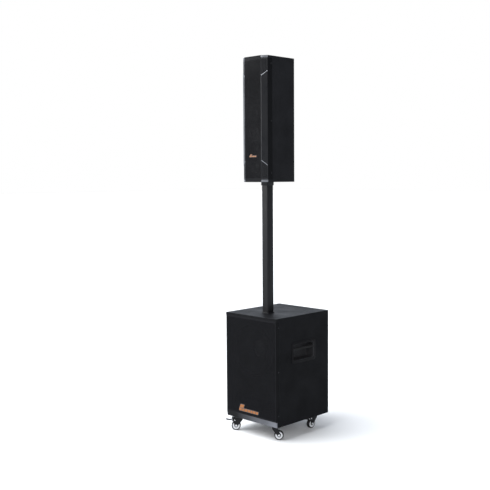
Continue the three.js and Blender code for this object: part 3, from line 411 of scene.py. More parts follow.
def carve(name, outer, cutters, look, round_edges=(), second=None, **dressing):
    """A solid with chosen edges rounded, less the cutters. second is (look, test of a face's centre and
    normal) for faces of another material."""
    mesh = bpy.data.meshes.new(name)
    mesh.from_pydata(in_metres(outer[0]), [], outer[1])
    work = bmesh.new()
    work.from_mesh(mesh)
    work.normal_update()
    for test, radius, steps in round_edges:
        edges = [e for e in work.edges if test(*[v.co / MM for v in e.verts])]
        bmesh.ops.bevel(work, geom=edges, offset=radius * MM, segments=steps, profile=0.5, affect="EDGES",
                        clamp_overlap=True)
    work.to_mesh(mesh)
    work.free()
    piece = bpy.data.objects.new(name, mesh)
    bpy.context.scene.collection.objects.link(piece)
    for i, (points, faces) in enumerate(cutters):
        tool_mesh = bpy.data.meshes.new(f"{name}_cut_{i}")
        tool_mesh.from_pydata(in_metres(points), [], faces)
        tool = bpy.data.objects.new(f"{name}_cut_{i}", tool_mesh)
        bpy.context.scene.collection.objects.link(tool)
        boolean = piece.modifiers.new("cut", "BOOLEAN")
        boolean.operation, boolean.solver, boolean.object = "DIFFERENCE", "EXACT", tool
        graph = bpy.context.evaluated_depsgraph_get()
        carved = bpy.data.meshes.new_from_object(piece.evaluated_get(graph))
        piece.modifiers.clear()
        piece.data = carved
        bpy.data.objects.remove(tool)
    piece.data.materials.clear()
    piece.data.materials.append(mat[look])
    if second:
        piece.data.materials.append(mat[second[0]])
        for face in piece.data.polygons:
            face.material_index = int(second[1](face.center / MM, face.normal))
    piece.data.polygons.foreach_set("use_smooth", [True] * len(piece.data.polygons))
    piece.data.set_sharp_from_angle(angle=math.radians(40))
    weigh = piece.modifiers.new("normals", "WEIGHTED_NORMAL")
    weigh.keep_sharp = True
    return dress(piece, **dressing)


def perforated(width, height, pitch, hole, depth, plain=None):
    """A sheet of width by height, pierced by staggered six-sided holes; plain(u, v) leaves a cell whole."""
    columns, rows = int(width / pitch), int(height / (pitch * 0.866))
    cw, ch = width / columns, height / rows
    points, faces = [], []
    corner = [(0, 0.5), (0.5, 0.5), (0.5, -0.5), (0, -0.5), (-0.5, -0.5), (-0.5, 0.5)]
    ring = [(math.sin(math.pi / 3 * k), math.cos(math.pi / 3 * k)) for k in range(6)]

    def whole(u0, u1, v):
        start = len(points)
        points.extend([(u0, v - ch / 2, 0), (u1, v - ch / 2, 0), (u1, v + ch / 2, 0), (u0, v + ch / 2, 0)])
        faces.append(tuple(range(start, start + 4)))

    for row in range(rows):
        v = (row + 0.5) * ch
        shift = row % 2
        if shift:
            for left in (0, width - cw / 2):
                whole(left, left + cw / 2, v)
        for u in [(i + 0.5 + 0.5 * shift) * cw for i in range(columns - shift)]:
            if plain and plain(u, v):
                whole(u - cw / 2, u + cw / 2, v)
                continue
            start = len(points)
            points += [(u + a * cw, v + b * ch, 0) for a, b in corner]
            points += [(u + a * hole, v + b * hole, 0) for a, b in ring]
            points += [(u + a * hole, v + b * hole, -depth) for a, b in ring]
            for k in range(6):
                n = (k + 1) % 6
                faces.append((start + k, start + 6 + k, start + 6 + n, start + n))
                faces.append((start + 6 + k, start + 12 + k, start + 12 + n, start + 6 + n))
    return points, faces


def head(radius, height, recess="cross"):
    """A pan-head fastener's profile and its driving recess, standing on w = 0."""
    dome = [(radius, 0), (radius, height * 0.35), (radius * 0.86, height * 0.75), (radius * 0.5, height),
            (radius * 0.3, height)]
    if recess == "rivet":
        return lathe(dome + [(0, height * 1.02)], 16)
    return lathe(dome + [(radius * 0.24, height * 0.45), (0, height * 0.45)], 6 if recess == "hex" else 16)


def box(name):
    """A CAD node's corners in millimetres."""
    low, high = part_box(name)
    return Vector(low) / MM, Vector(high) / MM


def middle(name):
    low, high = box(name)
    return (low + high) / 2


def spans(name):
    """A CAD node's width, height and depth."""
    low, high = box(name)
    return high.x - low.x, high.z - low.z, high.y - low.y


def front_of(name):
    """A placement in the middle of a CAD node's front."""
    centre = middle(name)
    return facing_front(centre.x, box(name)[0].y, centre.z)


def rear_of(name):
    centre = middle(name)
    return facing_rear(centre.x, box(name)[1].y, centre.z)


def rear_corners(half_width, rear, radius):
    """The plan's two rear corners, anticlockwise."""
    turns = [(side, math.radians(start + 15 * i)) for side, start in ((1, 0), (-1, 90)) for i in range(7)]
    return [(side * (half_width - radius) + radius * math.cos(a), rear - radius + radius * math.sin(a))
            for side, a in turns]


# ---------------------------------------------------------------- subwoofer cabinet and front
sub_low, sub_high = box("sub_cabinet")
half = sub_high.x
SUB = {"front": sub_low.y, "rear": sub_high.y, "bottom": sub_low.z, "top": sub_high.z}
grille_low, grille_high = box("sub_grille")
amp_low, amp_high = box("amp_plate")
SHEET, WALL = 2, 15
FAR = 1000  # how far a cutter reaches past the outside
NEAR = 0.1  # how close a corner has to be to count as on a face


POLE_SIZE = box("pole_tube")[1].x - box("pole_tube")[0].x
POLE_ROOM = POLE_SIZE + 0.6
POLE_WELL = POLE_ROOM + 3.4
POLE_CORNER = 6


def sub_cabinet():
    plan = [(-half, SUB["front"]), (half, SUB["front"])] + rear_corners(half, SUB["rear"], 10)
    outer = prism(plan, SUB["bottom"], SUB["top"])
    kick_high = box("sub_kick_strip")[1]
    gap = 0.3
    front, rear, bottom, top = SUB["front"], SUB["rear"], SUB["bottom"], SUB["top"]
    grille_back, seat = grille_high.y + gap, SHEET + gap
    pole, well = middle("pole_socket"), POLE_WELL / 2 + 0.2
    cup_low, cup_high = box("handle_right")
    cup_edge = 12
    cutters = [slab(*corners) for corners in [
        ((-half + WALL, front + 2, bottom + WALL), (half - WALL, rear - WALL, top - WALL)),
        ((-half - FAR, front - FAR, bottom - FAR), (half + FAR, kick_high.y + gap, kick_high.z + gap)),
        ((-half - FAR, front - FAR, kick_high.z), (half + FAR, front + seat, top - WALL)),
        ((-half - FAR, front - FAR, kick_high.z + 0.1), (-half + seat, grille_back, top - WALL)),
        ((half - seat, front - FAR, kick_high.z + 0.1), (half + FAR, grille_back, top - WALL)),
        ((pole.x - well, pole.y - well, top - 2 * WALL), (pole.x + well, pole.y + well, top + FAR)),
        ((amp_low.x, rear - 2 * WALL, amp_low.z), (amp_high.x, rear + FAR, amp_high.z)),
        ((-half - FAR, cup_low.y + cup_edge, cup_low.z + cup_edge),
         (half + FAR, cup_high.y - cup_edge, cup_high.z - cup_edge)),
    ]]
    def on_top(a, b):
        return min(a.z, b.z) > top - NEAR

    def on_front(a, b):
        return max(a.y, b.y) < front + NEAR

    rounds = [
        (lambda a, b: on_top(a, b) and not on_front(a, b), 3.5, 3),
        (lambda a, b: on_top(a, b) and on_front(a, b) and abs(a.x - b.x) > 100, 9, 5),
        (lambda a, b: max(a.z, b.z) < bottom + NEAR, 2, 2),
    ]
    carve("sub_cabinet_shell", outer, cutters, "cabinet", rounds, body="subwoofer",
          replaces=["sub_cabinet"], slot="cabinet_paint")


def folded(name, ends, low, high, thickness, radius, panels, body, node, slot):
    """A perforated sheet folded along upright lines. ends are its plan points from left to right;
    panels maps a leg's number to (inset at each side, inset at top and foot, plain)."""
    shape = Shape()
    line = [Vector((x, y, 0)) for x, y in ends]
    count = len(line) - 1
    runs = [(line[i + 1] - line[i]).normalized() for i in range(count)]
    outs = [Vector((run.y, -run.x, 0)) for run in runs]
    trims = [radius * math.tan(before.angle(after) / 2) for before, after in zip(runs, runs[1:])]
    for i in range(count):
        length = (line[i + 1] - line[i]).length
        a = trims[i - 1] if i else 0
        b = length - (trims[i] if i < count - 1 else 0)
        place = axes((line[i].x, line[i].y, low), runs[i], (0, 0, 1), outs[i])
        tall = high - low
        # The middle leg takes the grille coat and the other perforated legs its lighter copy, which is
        # painted light.
        face_look = 0 if i == count // 2 else 2
        if i in panels:
            side, foot, plain, pitch, hole = panels[i]
            u0, u1, v0, v1 = a + side, b - side, foot, tall - foot
            shift = Matrix.Translation((u0, v0, 0))
            shape.add(perforated(u1 - u0, v1 - v0, pitch, hole, thickness, plain), face_look, place @ shift)
            frames = [((a, 0), (b, v0)), ((a, v1), (b, tall)), ((a, v0), (u0, v1)), ((u1, v0), (b, v1))]
        else:
            frames = [((a, 0), (b, tall))]
        # Plain legs take the darker flange copy, which is painted shade.
        look = face_look if i in panels else 1
        for (x0, y0), (x1, y1) in frames:
            shape.add(([(x0, y0, 0), (x1, y0, 0), (x1, y1, 0), (x0, y1, 0)], [(0, 1, 2, 3)]), look, place)
        for level, order in ((0, (3, 2, 1, 0)), (tall, (0, 1, 2, 3))):
            lip = [(a, level, 0), (b, level, 0), (b, level, -thickness), (a, level, -thickness)]
            shape.add((lip, [order]), 0, place)
        if i < count - 1:
            # The fold: an arc from this leg's face to the next one's.
            start = line[i] + runs[i] * b
            centre = start - outs[i] * radius
            steps = 5
            turn = runs[i].angle(runs[i + 1])
            arc = []
            for k in range(steps + 1):
                around = Matrix.Rotation(turn * k / steps, 3, "Z")
                arc.append(centre + around @ (outs[i] * radius))
            points = [(p.x, p.y, z) for p in arc for z in (low, high)]
            faces = [(2 * k, 2 * k + 2, 2 * k + 3, 2 * k + 1) for k in range(steps)]
            # The fold takes the darker flange copy: painted shade.
            shape.add((points, faces), 1)
    for i, sign in ((0, 0), (count - 1, 1)):
        # The sheet's cut ends, facing the rear.
        p = line[-1] if sign else line[0]
        inner = p - outs[i] * thickness
        quad = [(p.x, p.y, low), (inner.x, inner.y, low), (inner.x, inner.y, high), (p.x, p.y, high)]
        shape.add((quad, [(0, 1, 2, 3) if sign else (3, 2, 1, 0)]), 0)
    return build(name, shape, ["grille", "flange", "grille_wing"], body, [node], slot, smooth=30)


def screws(name, places, radius, height, body="subwoofer", slot="caster_steel", look="screw", recess="cross"):
    """Fasteners at the given placements, with w pointing out of the surface."""
    shape = Shape()
    for place in places:
        shape.add(head(radius, height, recess), 0, place)
    return build(name, shape, [look], body, slot=slot, smooth=40)


def sub_front():
    y0, y1 = grille_low.y, grille_high.y
    ends = [(-half, y1), (-half, y0), (half, y0), (half, y1)]
    panels = {1: (2, 7, None, 5.5, 2.15)}
    folded("sub_grille_sheet", ends, grille_low.z, grille_high.z, SHEET, 3, panels, "subwoofer",
           "sub_grille", "grille_steel")
    rows = [grille_low.z + f * (grille_high.z - grille_low.z) for f in (0.06, 0.5, 0.94)]
    places = [facing_side(s, s * half, y0 + 16, z) for s in (-1, 1) for z in rows]
    screws("sub_grille_screws", places, 3.0, 1.2)
    low, high = box("sub_kick_strip")
    outline = [(low.y, high.z), (low.y + 5, low.z), (high.y, low.z), (high.y, high.z)]
    shape = Shape().add(along_x(outline, low.x, high.x))
    build("sub_kick_board", shape, ["kick"], "subwoofer", ["sub_kick_strip"], "kick_paint", 1.2, 3)


def slanted(x0, x1, z0, z1, lean):
    return [(x0, z0), (x1, z0), (x1 + lean, z1), (x0 + lean, z1)]


def badge(name, node, body, parts, tick):
    """A plain badge: slanted bars of several lengths on a rimmed backing, and one short bar above."""
    low, high = box(node)
    width, tall, thick = high.x - low.x, high.z - low.z, high.y - low.y
    place = facing_front(low.x, high.y, low.z)
    shape = Shape()
    shape.add(prism(slanted(0, width - tall * 0.2, 0, tall, tall * 0.2), 0, thick * 0.45), 1, place)
    margin, lean = tall * 0.13, tall * 0.16
    total = sum(parts) + 0.35 * (len(parts) - 1)
    unit = (width - 2 * margin - lean - tall * 0.1) / total
    x = margin
    for part in parts:
        bar = slanted(x, x + part * unit, margin, tall - margin, lean)
        shape.add(prism(bar, thick * 0.45, thick), 0, place)
        x += (part + 0.35) * unit
    if tick:
        u, v, w, h = tick
        back = slanted(u * width, (u + w) * width, tall, tall * (1 + h), tall * 0.5)
        shape.add(prism(back, 0, thick * 0.45), 1, place)
        bar = slanted(u * width + margin * 1.3, (u + w) * width - margin, tall * 1.06,
                      tall * (1 + h) - margin, tall * 0.4)
        shape.add(prism(bar, thick * 0.45, thick), 0, place)
    build(name, shape, ["orange", "badge_rim"], body, [node], "badge_enamel", 0.3, 2)


sub_cabinet()
sub_front()
badge("sub_badge_bars", "sub_badge", "subwoofer", [1.3, 0.9, 1.5, 1.1, 0.8, 1.4, 1.0], (0.03, 0, 0.22, 1.15))
badge("sat_badge_bars", "sat_badge", "satellite", [1.2, 0.8, 1.4, 1.0], (0.05, 0, 0.3, 0.7))


# ---------------------------------------------------------------- drivers
def roll(inner, outer, rise, base, steps=8):
    """A half-round surround, from its inner edge to its outer one."""
    centre, reach = (inner + outer) / 2, (outer - inner) / 2
    turns = [math.pi * i / steps for i in range(steps + 1)]
    return [(centre - reach * math.cos(a), base + rise * math.sin(a)) for a in turns]


WOOFER_FLANGE = 154


def driver(name, frame_node, cone_node, frame_body, cone_body, magnet_node=None, *, flange, thick, mouth,
           wall, shoulder, neck, depth, length, boss, edge, cap, cone, bulge):
    """Basket, screws, cone, surround and dust cap, from their radii and depths."""
    centre, rear = middle(frame_node), box(frame_node)[1].y
    place = facing_front(centre.x, rear - length, centre.z)
    shape = Shape().add(lathe([
        (mouth, -shoulder), (mouth, thick - 0.5), (mouth + 0.6, thick), (flange - 0.9, thick),
        (flange, thick - 0.9), (flange, 0.3), (mouth + wall, 0.3), (mouth + wall, -shoulder), (neck, -depth),
        (boss, -depth), (boss, -length + 1), (boss - 1, -length), (0, -length)][::-1], 64), 0, place)
    shape.add(lathe([(mouth, -shoulder), (neck - wall, -depth + wall)], 64), 0, place)
    build(f"{name}_basket", shape, ["basket"], frame_body, [frame_node], "basket_steel", smooth=30)
    ring, bolts = (flange + mouth) / 2, 8 if flange > 100 else 4
    turns = [math.pi / bolts * (2 * i + 1) for i in range(bolts)]
    places = [shifted(place, ring * math.cos(a), ring * math.sin(a), thick) for a in turns]
    screws(f"{name}_screws", places, flange * 0.024, 1.2, frame_body, "basket_steel")

    inner = edge * 0.86
    shape = Shape()
    shape.add(lathe(roll(inner, edge, (edge - inner) * 0.42, 0.2)[::-1] + [(inner, -0.2)], 64), 1, place)
    slope = [(inner, -0.2)]
    for i in range(1, 13):
        share = i / 12
        ridge = 0.5 * (i % 3 == 0) * (flange / WOOFER_FLANGE)
        slope.append((inner + (cap * 0.95 - inner) * share, -0.2 - (cone - 4) * share ** 0.9 + ridge))
    shape.add(lathe(slope, 64), 0, place)
    base = slope[-1][1]
    turns = [math.pi / 2 * i / 8 for i in range(8)]
    dome = [(cap * math.cos(a), base + bulge * math.sin(a)) for a in turns]
    shape.add(lathe(dome + [(0, base + bulge)], 64), 2, place)
    build(f"{name}_cone_shell", shape, ["paper", "surround", "cap"], cone_body, [cone_node], "cone_paper",
          smooth=50)
    if magnet_node:
        width, _, d = spans(magnet_node)
        r = width / 2
        back = facing_front(centre.x, box(magnet_node)[0].y, centre.z)
        profile = [(0.2 * r, 0), (r * 0.97, 0), (r, -0.03 * r), (r, -d * 0.3), (r * 0.97, -d * 0.32),
                   (r * 0.97, -d * 0.68), (r, -d * 0.7), (r, -d + 0.03 * r), (r * 0.97, -d), (0.2 * r, -d),
                   (0.2 * r, 0)]
        build(f"{name}_magnet", Shape().add(lathe(profile[::-1], 48), 0, back), ["magnet"], frame_body,
              [magnet_node], "magnet_ferrite")


driver("woofer", "woofer_frame", "woofer_cone", "subwoofer", "woofer_cone", "woofer_magnet",
       flange=WOOFER_FLANGE, thick=5.3, mouth=139, wall=4, shoulder=22, neck=62, depth=96, length=96, boss=62,
       edge=136, cap=46, cone=54, bulge=14)
for i in range(1, 5):
    driver(f"mid_{i}", f"mid_frame_{i}", f"mid_cone_{i}", "satellite", f"mid_cone_{i}",
           flange=45, thick=4.3, mouth=37, wall=3, shoulder=12, neck=24, depth=32, length=50, boss=24,
           edge=35, cap=13, cone=14, bulge=5)


def port():
    width, tall, length = spans("port_duct")
    wall = 6
    rows = [(width, tall, 10, -length), (width, tall, 10, -2), (width - 2, tall - 2, 10, 0)]
    for i in range(5):
        a = math.pi / 2 * i / 4
        inset = 2 + 2 * (wall - 1) * math.sin(a)
        rows.append((width - inset, tall - inset, 9, -wall * (1 - math.cos(a))))
    rows.append((width - 2 * wall, tall - 2 * wall, 8, -length))
    shape = Shape().add(tube(rows, wrap=True), 0, front_of("port_duct"))
    build("port_duct_flare", shape, ["plastic"], "subwoofer", ["port_duct"], "moulded_black", smooth=50)


def horn():
    width, tall, length = spans("sat_horn")
    place = front_of("sat_horn")
    rim, flange, skin, throat = 10, 4, 3, 26
    mouth_w, mouth_h = width - 2 * rim, tall - 2 * rim

    def flare(grow, start, stop, steps):
        out = []
        for i in range(steps + 1):
            t = start + (stop - start) * i / steps
            share = (1 - t) ** 1.7 * 0.85 + (1 - t) * 0.15
            w = throat + (mouth_w - throat) * share + grow
            h = throat + (mouth_h - throat) * share + grow
            out.append((w, h, min(w, h) * (0.2 + 0.29 * t), -length * t))
        return out

    rows = [(width, tall, 7, -flange), (width, tall, 7, -1), (width - 2, tall - 2, 6, 0),
            (mouth_w + 2, mouth_h + 2, (mouth_w + 2) * 0.2, 0)]
    rows += flare(0, 0.02, 1, 14)
    rows.append((throat + 2 * skin, throat + 2 * skin, throat * 0.6, -length))
    rows += flare(2 * skin, 1, 0.08, 8)
    build("sat_horn_flare", Shape().add(tube(rows, wrap=True), 0, place), ["plastic"], "satellite",
          ["sat_horn"], "moulded_black", smooth=45)
    corners = [shifted(place, u, v) for u, v in four(width / 2 - 5, tall / 2 - 5)]
    screws("sat_horn_screws", corners, 3, 1.2, "satellite", "basket_steel")
    width, _, d = spans("sat_tweeter")
    r = width / 2
    profile = [(0, 0), (r * 0.6, 0), (r * 0.62, -0.16 * d), (r * 0.96, -0.18 * d), (r, -0.24 * d),
               (r, -0.78 * d), (r * 0.96, -0.84 * d), (r * 0.8, -0.86 * d), (r * 0.78, -d), (0, -d)]
    build("sat_tweeter_motor", Shape().add(lathe(profile[::-1], 40), 0, front_of("sat_tweeter")), ["magnet"],
          "satellite", ["sat_tweeter"], "magnet_ferrite")


port()
horn()


# ---------------------------------------------------------------- side handles
def handle(side, name):
    low, high = box(name)
    centre = middle(name)
    length, tall, width = high.x - low.x, high.z - low.z, high.y - low.y
    place = facing_side(side, high.x if side > 0 else low.x, centre.y, centre.z)
    lip, skin, rim = 12, 3, 1.5
    w, h = width - 2 * lip, tall - 2 * lip
    iw, ih, floor = w - 2 * skin, h - 2 * skin, skin - length
    outer = [(w, h, 5, -length), (w, h, 5, -rim), (width, tall, 14, -rim), (width, tall, 14, -0.5),
             (width - 1.4, tall - 1.4, 13.4, 0)]
    inner = [(iw + 5, ih + 5, 10, 0), (iw + 1, ih + 1, 9, -2), (iw, ih, 9, -5), (iw, ih, 9, floor + 8),
             (iw - 5, ih - 5, 8, floor + 2), (iw - 14, ih - 14, 6, floor)]
    points, faces = tube(outer + inner, close=True)
    shape = Shape().add((points, faces), 0, place)
    inside = len(points) // len(outer + inner) * len(outer)
    # The recess faces take the paler cup plastic: painted light against the shade inside the recess.
    shape.looks = [2 if inside <= i < len(points) else 0 for i in range(len(shape.looks))]
    # The grip bar, swelling at its ends where it meets the cup, with finger ridges along it.
    bar = []
    reach = w / 2 - skin + 1
    for i in range(41):
        t = -1 + i / 20
        radius = 8.6 + 5 * max(0, abs(t) - 0.86) / 0.14
        if abs(t) < 0.74:
            radius += 0.35 * math.cos(t * 60)
        bar.append((radius, t * reach))
    shape.add(lathe(bar, 32), 1, shifted(place, 0, 16, -13.8) @ Matrix.Rotation(math.pi / 2, 4, "Y"))
    build(f"{name}_cup", shape, ["plastic", "rubber", "cup"], "subwoofer", [name], "moulded_black", smooth=40)
    spots = four(width / 2 - 7, tall / 2 - 7) + [(0, 6 - tall / 2), (0, tall / 2 - 6)]
    screws(f"{name}_screws", [shifted(place, u, v, -0.8) for u, v in spots], 3, 0.8)


handle(1, "handle_right")
handle(-1, "handle_left")


# ---------------------------------------------------------------- casters
CASTERS = {"front_left": (-136, True), "front_right": (44, False), "rear_left": (-70, False),
           "rear_right": (-94, True)}


def caster(name, heading, braked):
    plate = f"caster_plate_{name}"
    low, high = box(plate)
    pivot = Vector(((low.x + high.x) / 2, (low.y + high.y) / 2, 0))
    top, under = high.z, high.z - 2.5
    place = Matrix.Translation(pivot)
    shape = Shape()
    shape.add(prism(rounded(high.x - low.x, high.y - low.y, 6), under, top), 0, place)
    dome = [(0, under), (17, under), (17.2, under - 1.5), (17, under - 4.6),
            (15.5, under - 6.4), (5, under - 6.5), (5, low.z + 3),
            (8, low.z + 2.8), (8, low.z + 0.5), (7.2, low.z), (0, low.z)]
    shape.add(lathe(dome, 32), 0, place)
    build(f"{plate}_pressing", shape, ["steel"], "subwoofer", [plate], "caster_steel", 0.5, 2)
    places = [axes((pivot.x + x, pivot.y + y, under), (1, 0, 0), (0, -1, 0), (0, 0, -1))
              for x, y in four(24, 18)]
    screws(f"{plate}_bolts", places, 4.2, 2.6, look="bright", recess="hex")

    # The fork, in a frame whose u runs along the trail, v across the wheel and w up.
    turned = Matrix.Translation(pivot) @ Matrix.Rotation(math.radians(heading), 4, "Z")
    fork_top = box(f"caster_fork_{name}")[1].z
    trail, axle, leg_radius, front = 22, 25, 9, -16
    length = (62 if braked else 34)
    inside, outside = 10.5, 13
    outline = [(front + length, fork_top), (front, fork_top), (front + 3, fork_top - 14)]
    for i in range(13):
        a = math.pi + math.pi * i / 12
        outline.append((trail + leg_radius * math.cos(a), axle + leg_radius * math.sin(a)))
    outline += [(trail + leg_radius + 1.5, axle + 6),
                (front + length - (8 if braked else 2), fork_top - 16)]
    shape = Shape()
    for v in (-1, 1):
        leg = turned @ axes((0, 0, 0), (1, 0, 0), (0, 0, 1), (0, -1, 0))
        shape.add(prism(outline, min(v * inside, v * outside), max(v * inside, v * outside)), 0, leg)
    web = [(u, w) for u, w in rounded(length, 2 * outside, 4, x=front + length / 2)]
    shape.add(prism(web, fork_top - 2.5, fork_top), 0, turned)
    shape.add(lathe([(6, fork_top - 2.4), (17, fork_top - 2.4), (17, fork_top),
                     (6, fork_top)], 32), 0, turned)
    build(f"caster_fork_{name}_pressing", shape, ["steel"], f"swivel_{name}", [f"caster_fork_{name}"],
          "caster_steel", 0.7, 2)
    shape = Shape()
    for v in (-1, 1):
        w_axis = (0, v, 0)
        axle_place = turned @ axes((trail, v * outside, axle), (-v, 0, 0), (0, 0, 1), w_axis)
        shape.add(head(5.5, 1.5, "rivet"), 0, axle_place)
        if braked:
            for u in (29, 45):
                spot = turned @ axes((u, v * outside, 56), (-v, 0, 0), (0, 0, 1), w_axis)
                shape.add(head(3.1, 1.4, "rivet"), 0, spot)
    build(f"caster_fork_{name}_rivets", shape, ["bright"], f"swivel_{name}", slot="caster_steel", smooth=45)

    # Wheel: black tread, pale core with ribs, dark hub.
    wheel = turned @ axes((trail, 0, axle), (1, 0, 0), (0, 0, 1), (0, -1, 0))
    r, w = 25, 9.5
    tread = both_ways([(19.4, -w + 0.3), (20.2, -w), (r - 2.4, -w), (r - 0.7, -w + 0.9), (r, -w + 2.8)])
    core = both_ways([(9.2, -w + 0.4), (9.8, -w + 1.6), (17.4, -w + 1.6), (18.2, -w + 0.5), (19.5, -w + 0.5)])
    hub = both_ways([(4.3, -w), (8, -w), (9.2, -w + 0.8)]) + [(4.3, -w)]
    node, rolling = f"caster_wheel_{name}", f"wheel_{name}"
    build(f"{node}_tread", Shape().add(lathe(tread, 56), 0, wheel), ["tread"], rolling, [node],
          "caster_wheel", smooth=35)
    shape = Shape().add(lathe(core, 56), 0, wheel)
    for i in range(6):
        spoke = wheel @ Matrix.Rotation(math.pi / 3 * i, 4, "Z")
        shape.add(slab((9.6, -0.7, -w + 0.7), (17.8, 0.7, w - 0.7)), 0, spoke)
    build(f"{node}_core", shape, ["nylon"], rolling, slot="caster_wheel", smooth=35)
    build(f"{node}_hub", Shape().add(lathe(hub, 40), 0, wheel), ["plastic"], rolling, slot="caster_wheel",
          smooth=35)

    if braked:
        node = f"brake_pedal_{name}"
        under, tip = 55, 60
        profile = [(29, 60.8), (24.6, 58), (24.6, 54.5), (29, 51.3),
                   (33, 52), (37, 50.3), (42, 46.6), (43, under),
                   (61, under), (70, under + 1.6), (77, tip), (76.4, tip + 3),
                   (69, under + 4.8), (60, under + 3.2), (40, under + 3.4)]
        lever = turned @ axes((0, 0, 0), (1, 0, 0), (0, 0, 1), (0, -1, 0))
        shape = Shape().add(prism(profile[::-1], -9.3, 9.3), 0, lever)
        for i in range(4):
            u = (62 + 3.4 * i)
            z = under + (3.5 + max(0, i - 1) * 0.9)
            shape.add(slab((u, -7.5, z - 0.6), (u + 1.4, 7.5, z + 0.9)), 0, turned)
        build(f"{node}_lever", shape, ["steel"], f"pedal_{name}", [node], "caster_steel", 0.5, 2)


for caster_name, (caster_heading, caster_braked) in CASTERS.items():
    caster(caster_name, caster_heading, caster_braked)


# ---------------------------------------------------------------- amplifier panel
def clean_mesh(name, look):
    """A carried-over CAD node gets its finish."""
    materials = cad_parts[name].data.materials
    materials.clear()
    materials.append(mat[look])


AMP = middle("amp_plate")
amp_face = amp_high.y


def knob_piece(name, body):
    centre = middle(name)
    length = box(name)[1].y - amp_face - 0.6
    place = facing_rear(centre.x, amp_face + 0.6, centre.z)
    rows = [(0, 8.4, 0), (0.8, 9, 0), (1.6, 8.9, 0.3), (8.4, 8.1, 0.3), (9.6, 7.7, 0), (10.6, 7.0, 0),
            (11, 6.2, 0)]
    shape = Shape().add(knurled([(w * length / 11, r, ridge) for w, r, ridge in rows], 72, 3, 0), 0, place)
    shape.add(lathe([(0, -10), (3, -10), (3, 0)], 20), 0, place)
    shape.add(slab((-0.6, 1.5, length - 0.4), (0.6, 6.6, length - 0.05)), 1, place)
    shape.add(slab((-0.6, 7.2, 2), (0.6, 8.6, length * 0.72)), 1, place)
    build(f"{name}_cap", shape, ["rubber", "print"], body, [name], "knob_rubber", smooth=40)
    return centre.x, centre.z


def round_socket(name, contacts, inset, ring_look):
    place = rear_of(name)
    width, _, deep = spans(name)
    rim, front, floor = width / 2, box(name)[1].y - amp_face, 3 - deep
    body, recess = rim - 3, rim - inset
    profile = [(0, -deep), (body, -deep), (body, -front), (rim - 0.2, -front), (rim, -front + 0.6),
               (rim - 0.3, -0.4), (rim - 0.9, 0), (recess + 0.8, 0), (recess, -0.8), (recess, floor),
               (0, floor)]
    shape = Shape().add(lathe(profile, 40), 0, place)
    shape.add(lathe([(rim - 1.1, 0.02), (recess + 1.0, 0.02)], 40), 1, place)
    for i in range(contacts):
        a = 2 * math.pi * i / contacts + math.pi / 2
        pin = shifted(place, 0.48 * recess * math.cos(a), 0.48 * recess * math.sin(a))
        shape.add(lathe([(1.1, floor), (1.1, floor + 8), (0.7, floor + 8.9), (0, floor + 9.1)], 14), 2, pin)
    shape.add(slab((-1.6, recess - 1.6, floor), (1.6, recess, -1.5)), 0, place)
    build(f"{name}_shell", shape, ["plastic", ring_look, "bright"], "subwoofer", [name], "socket_plastic",
          smooth=40)


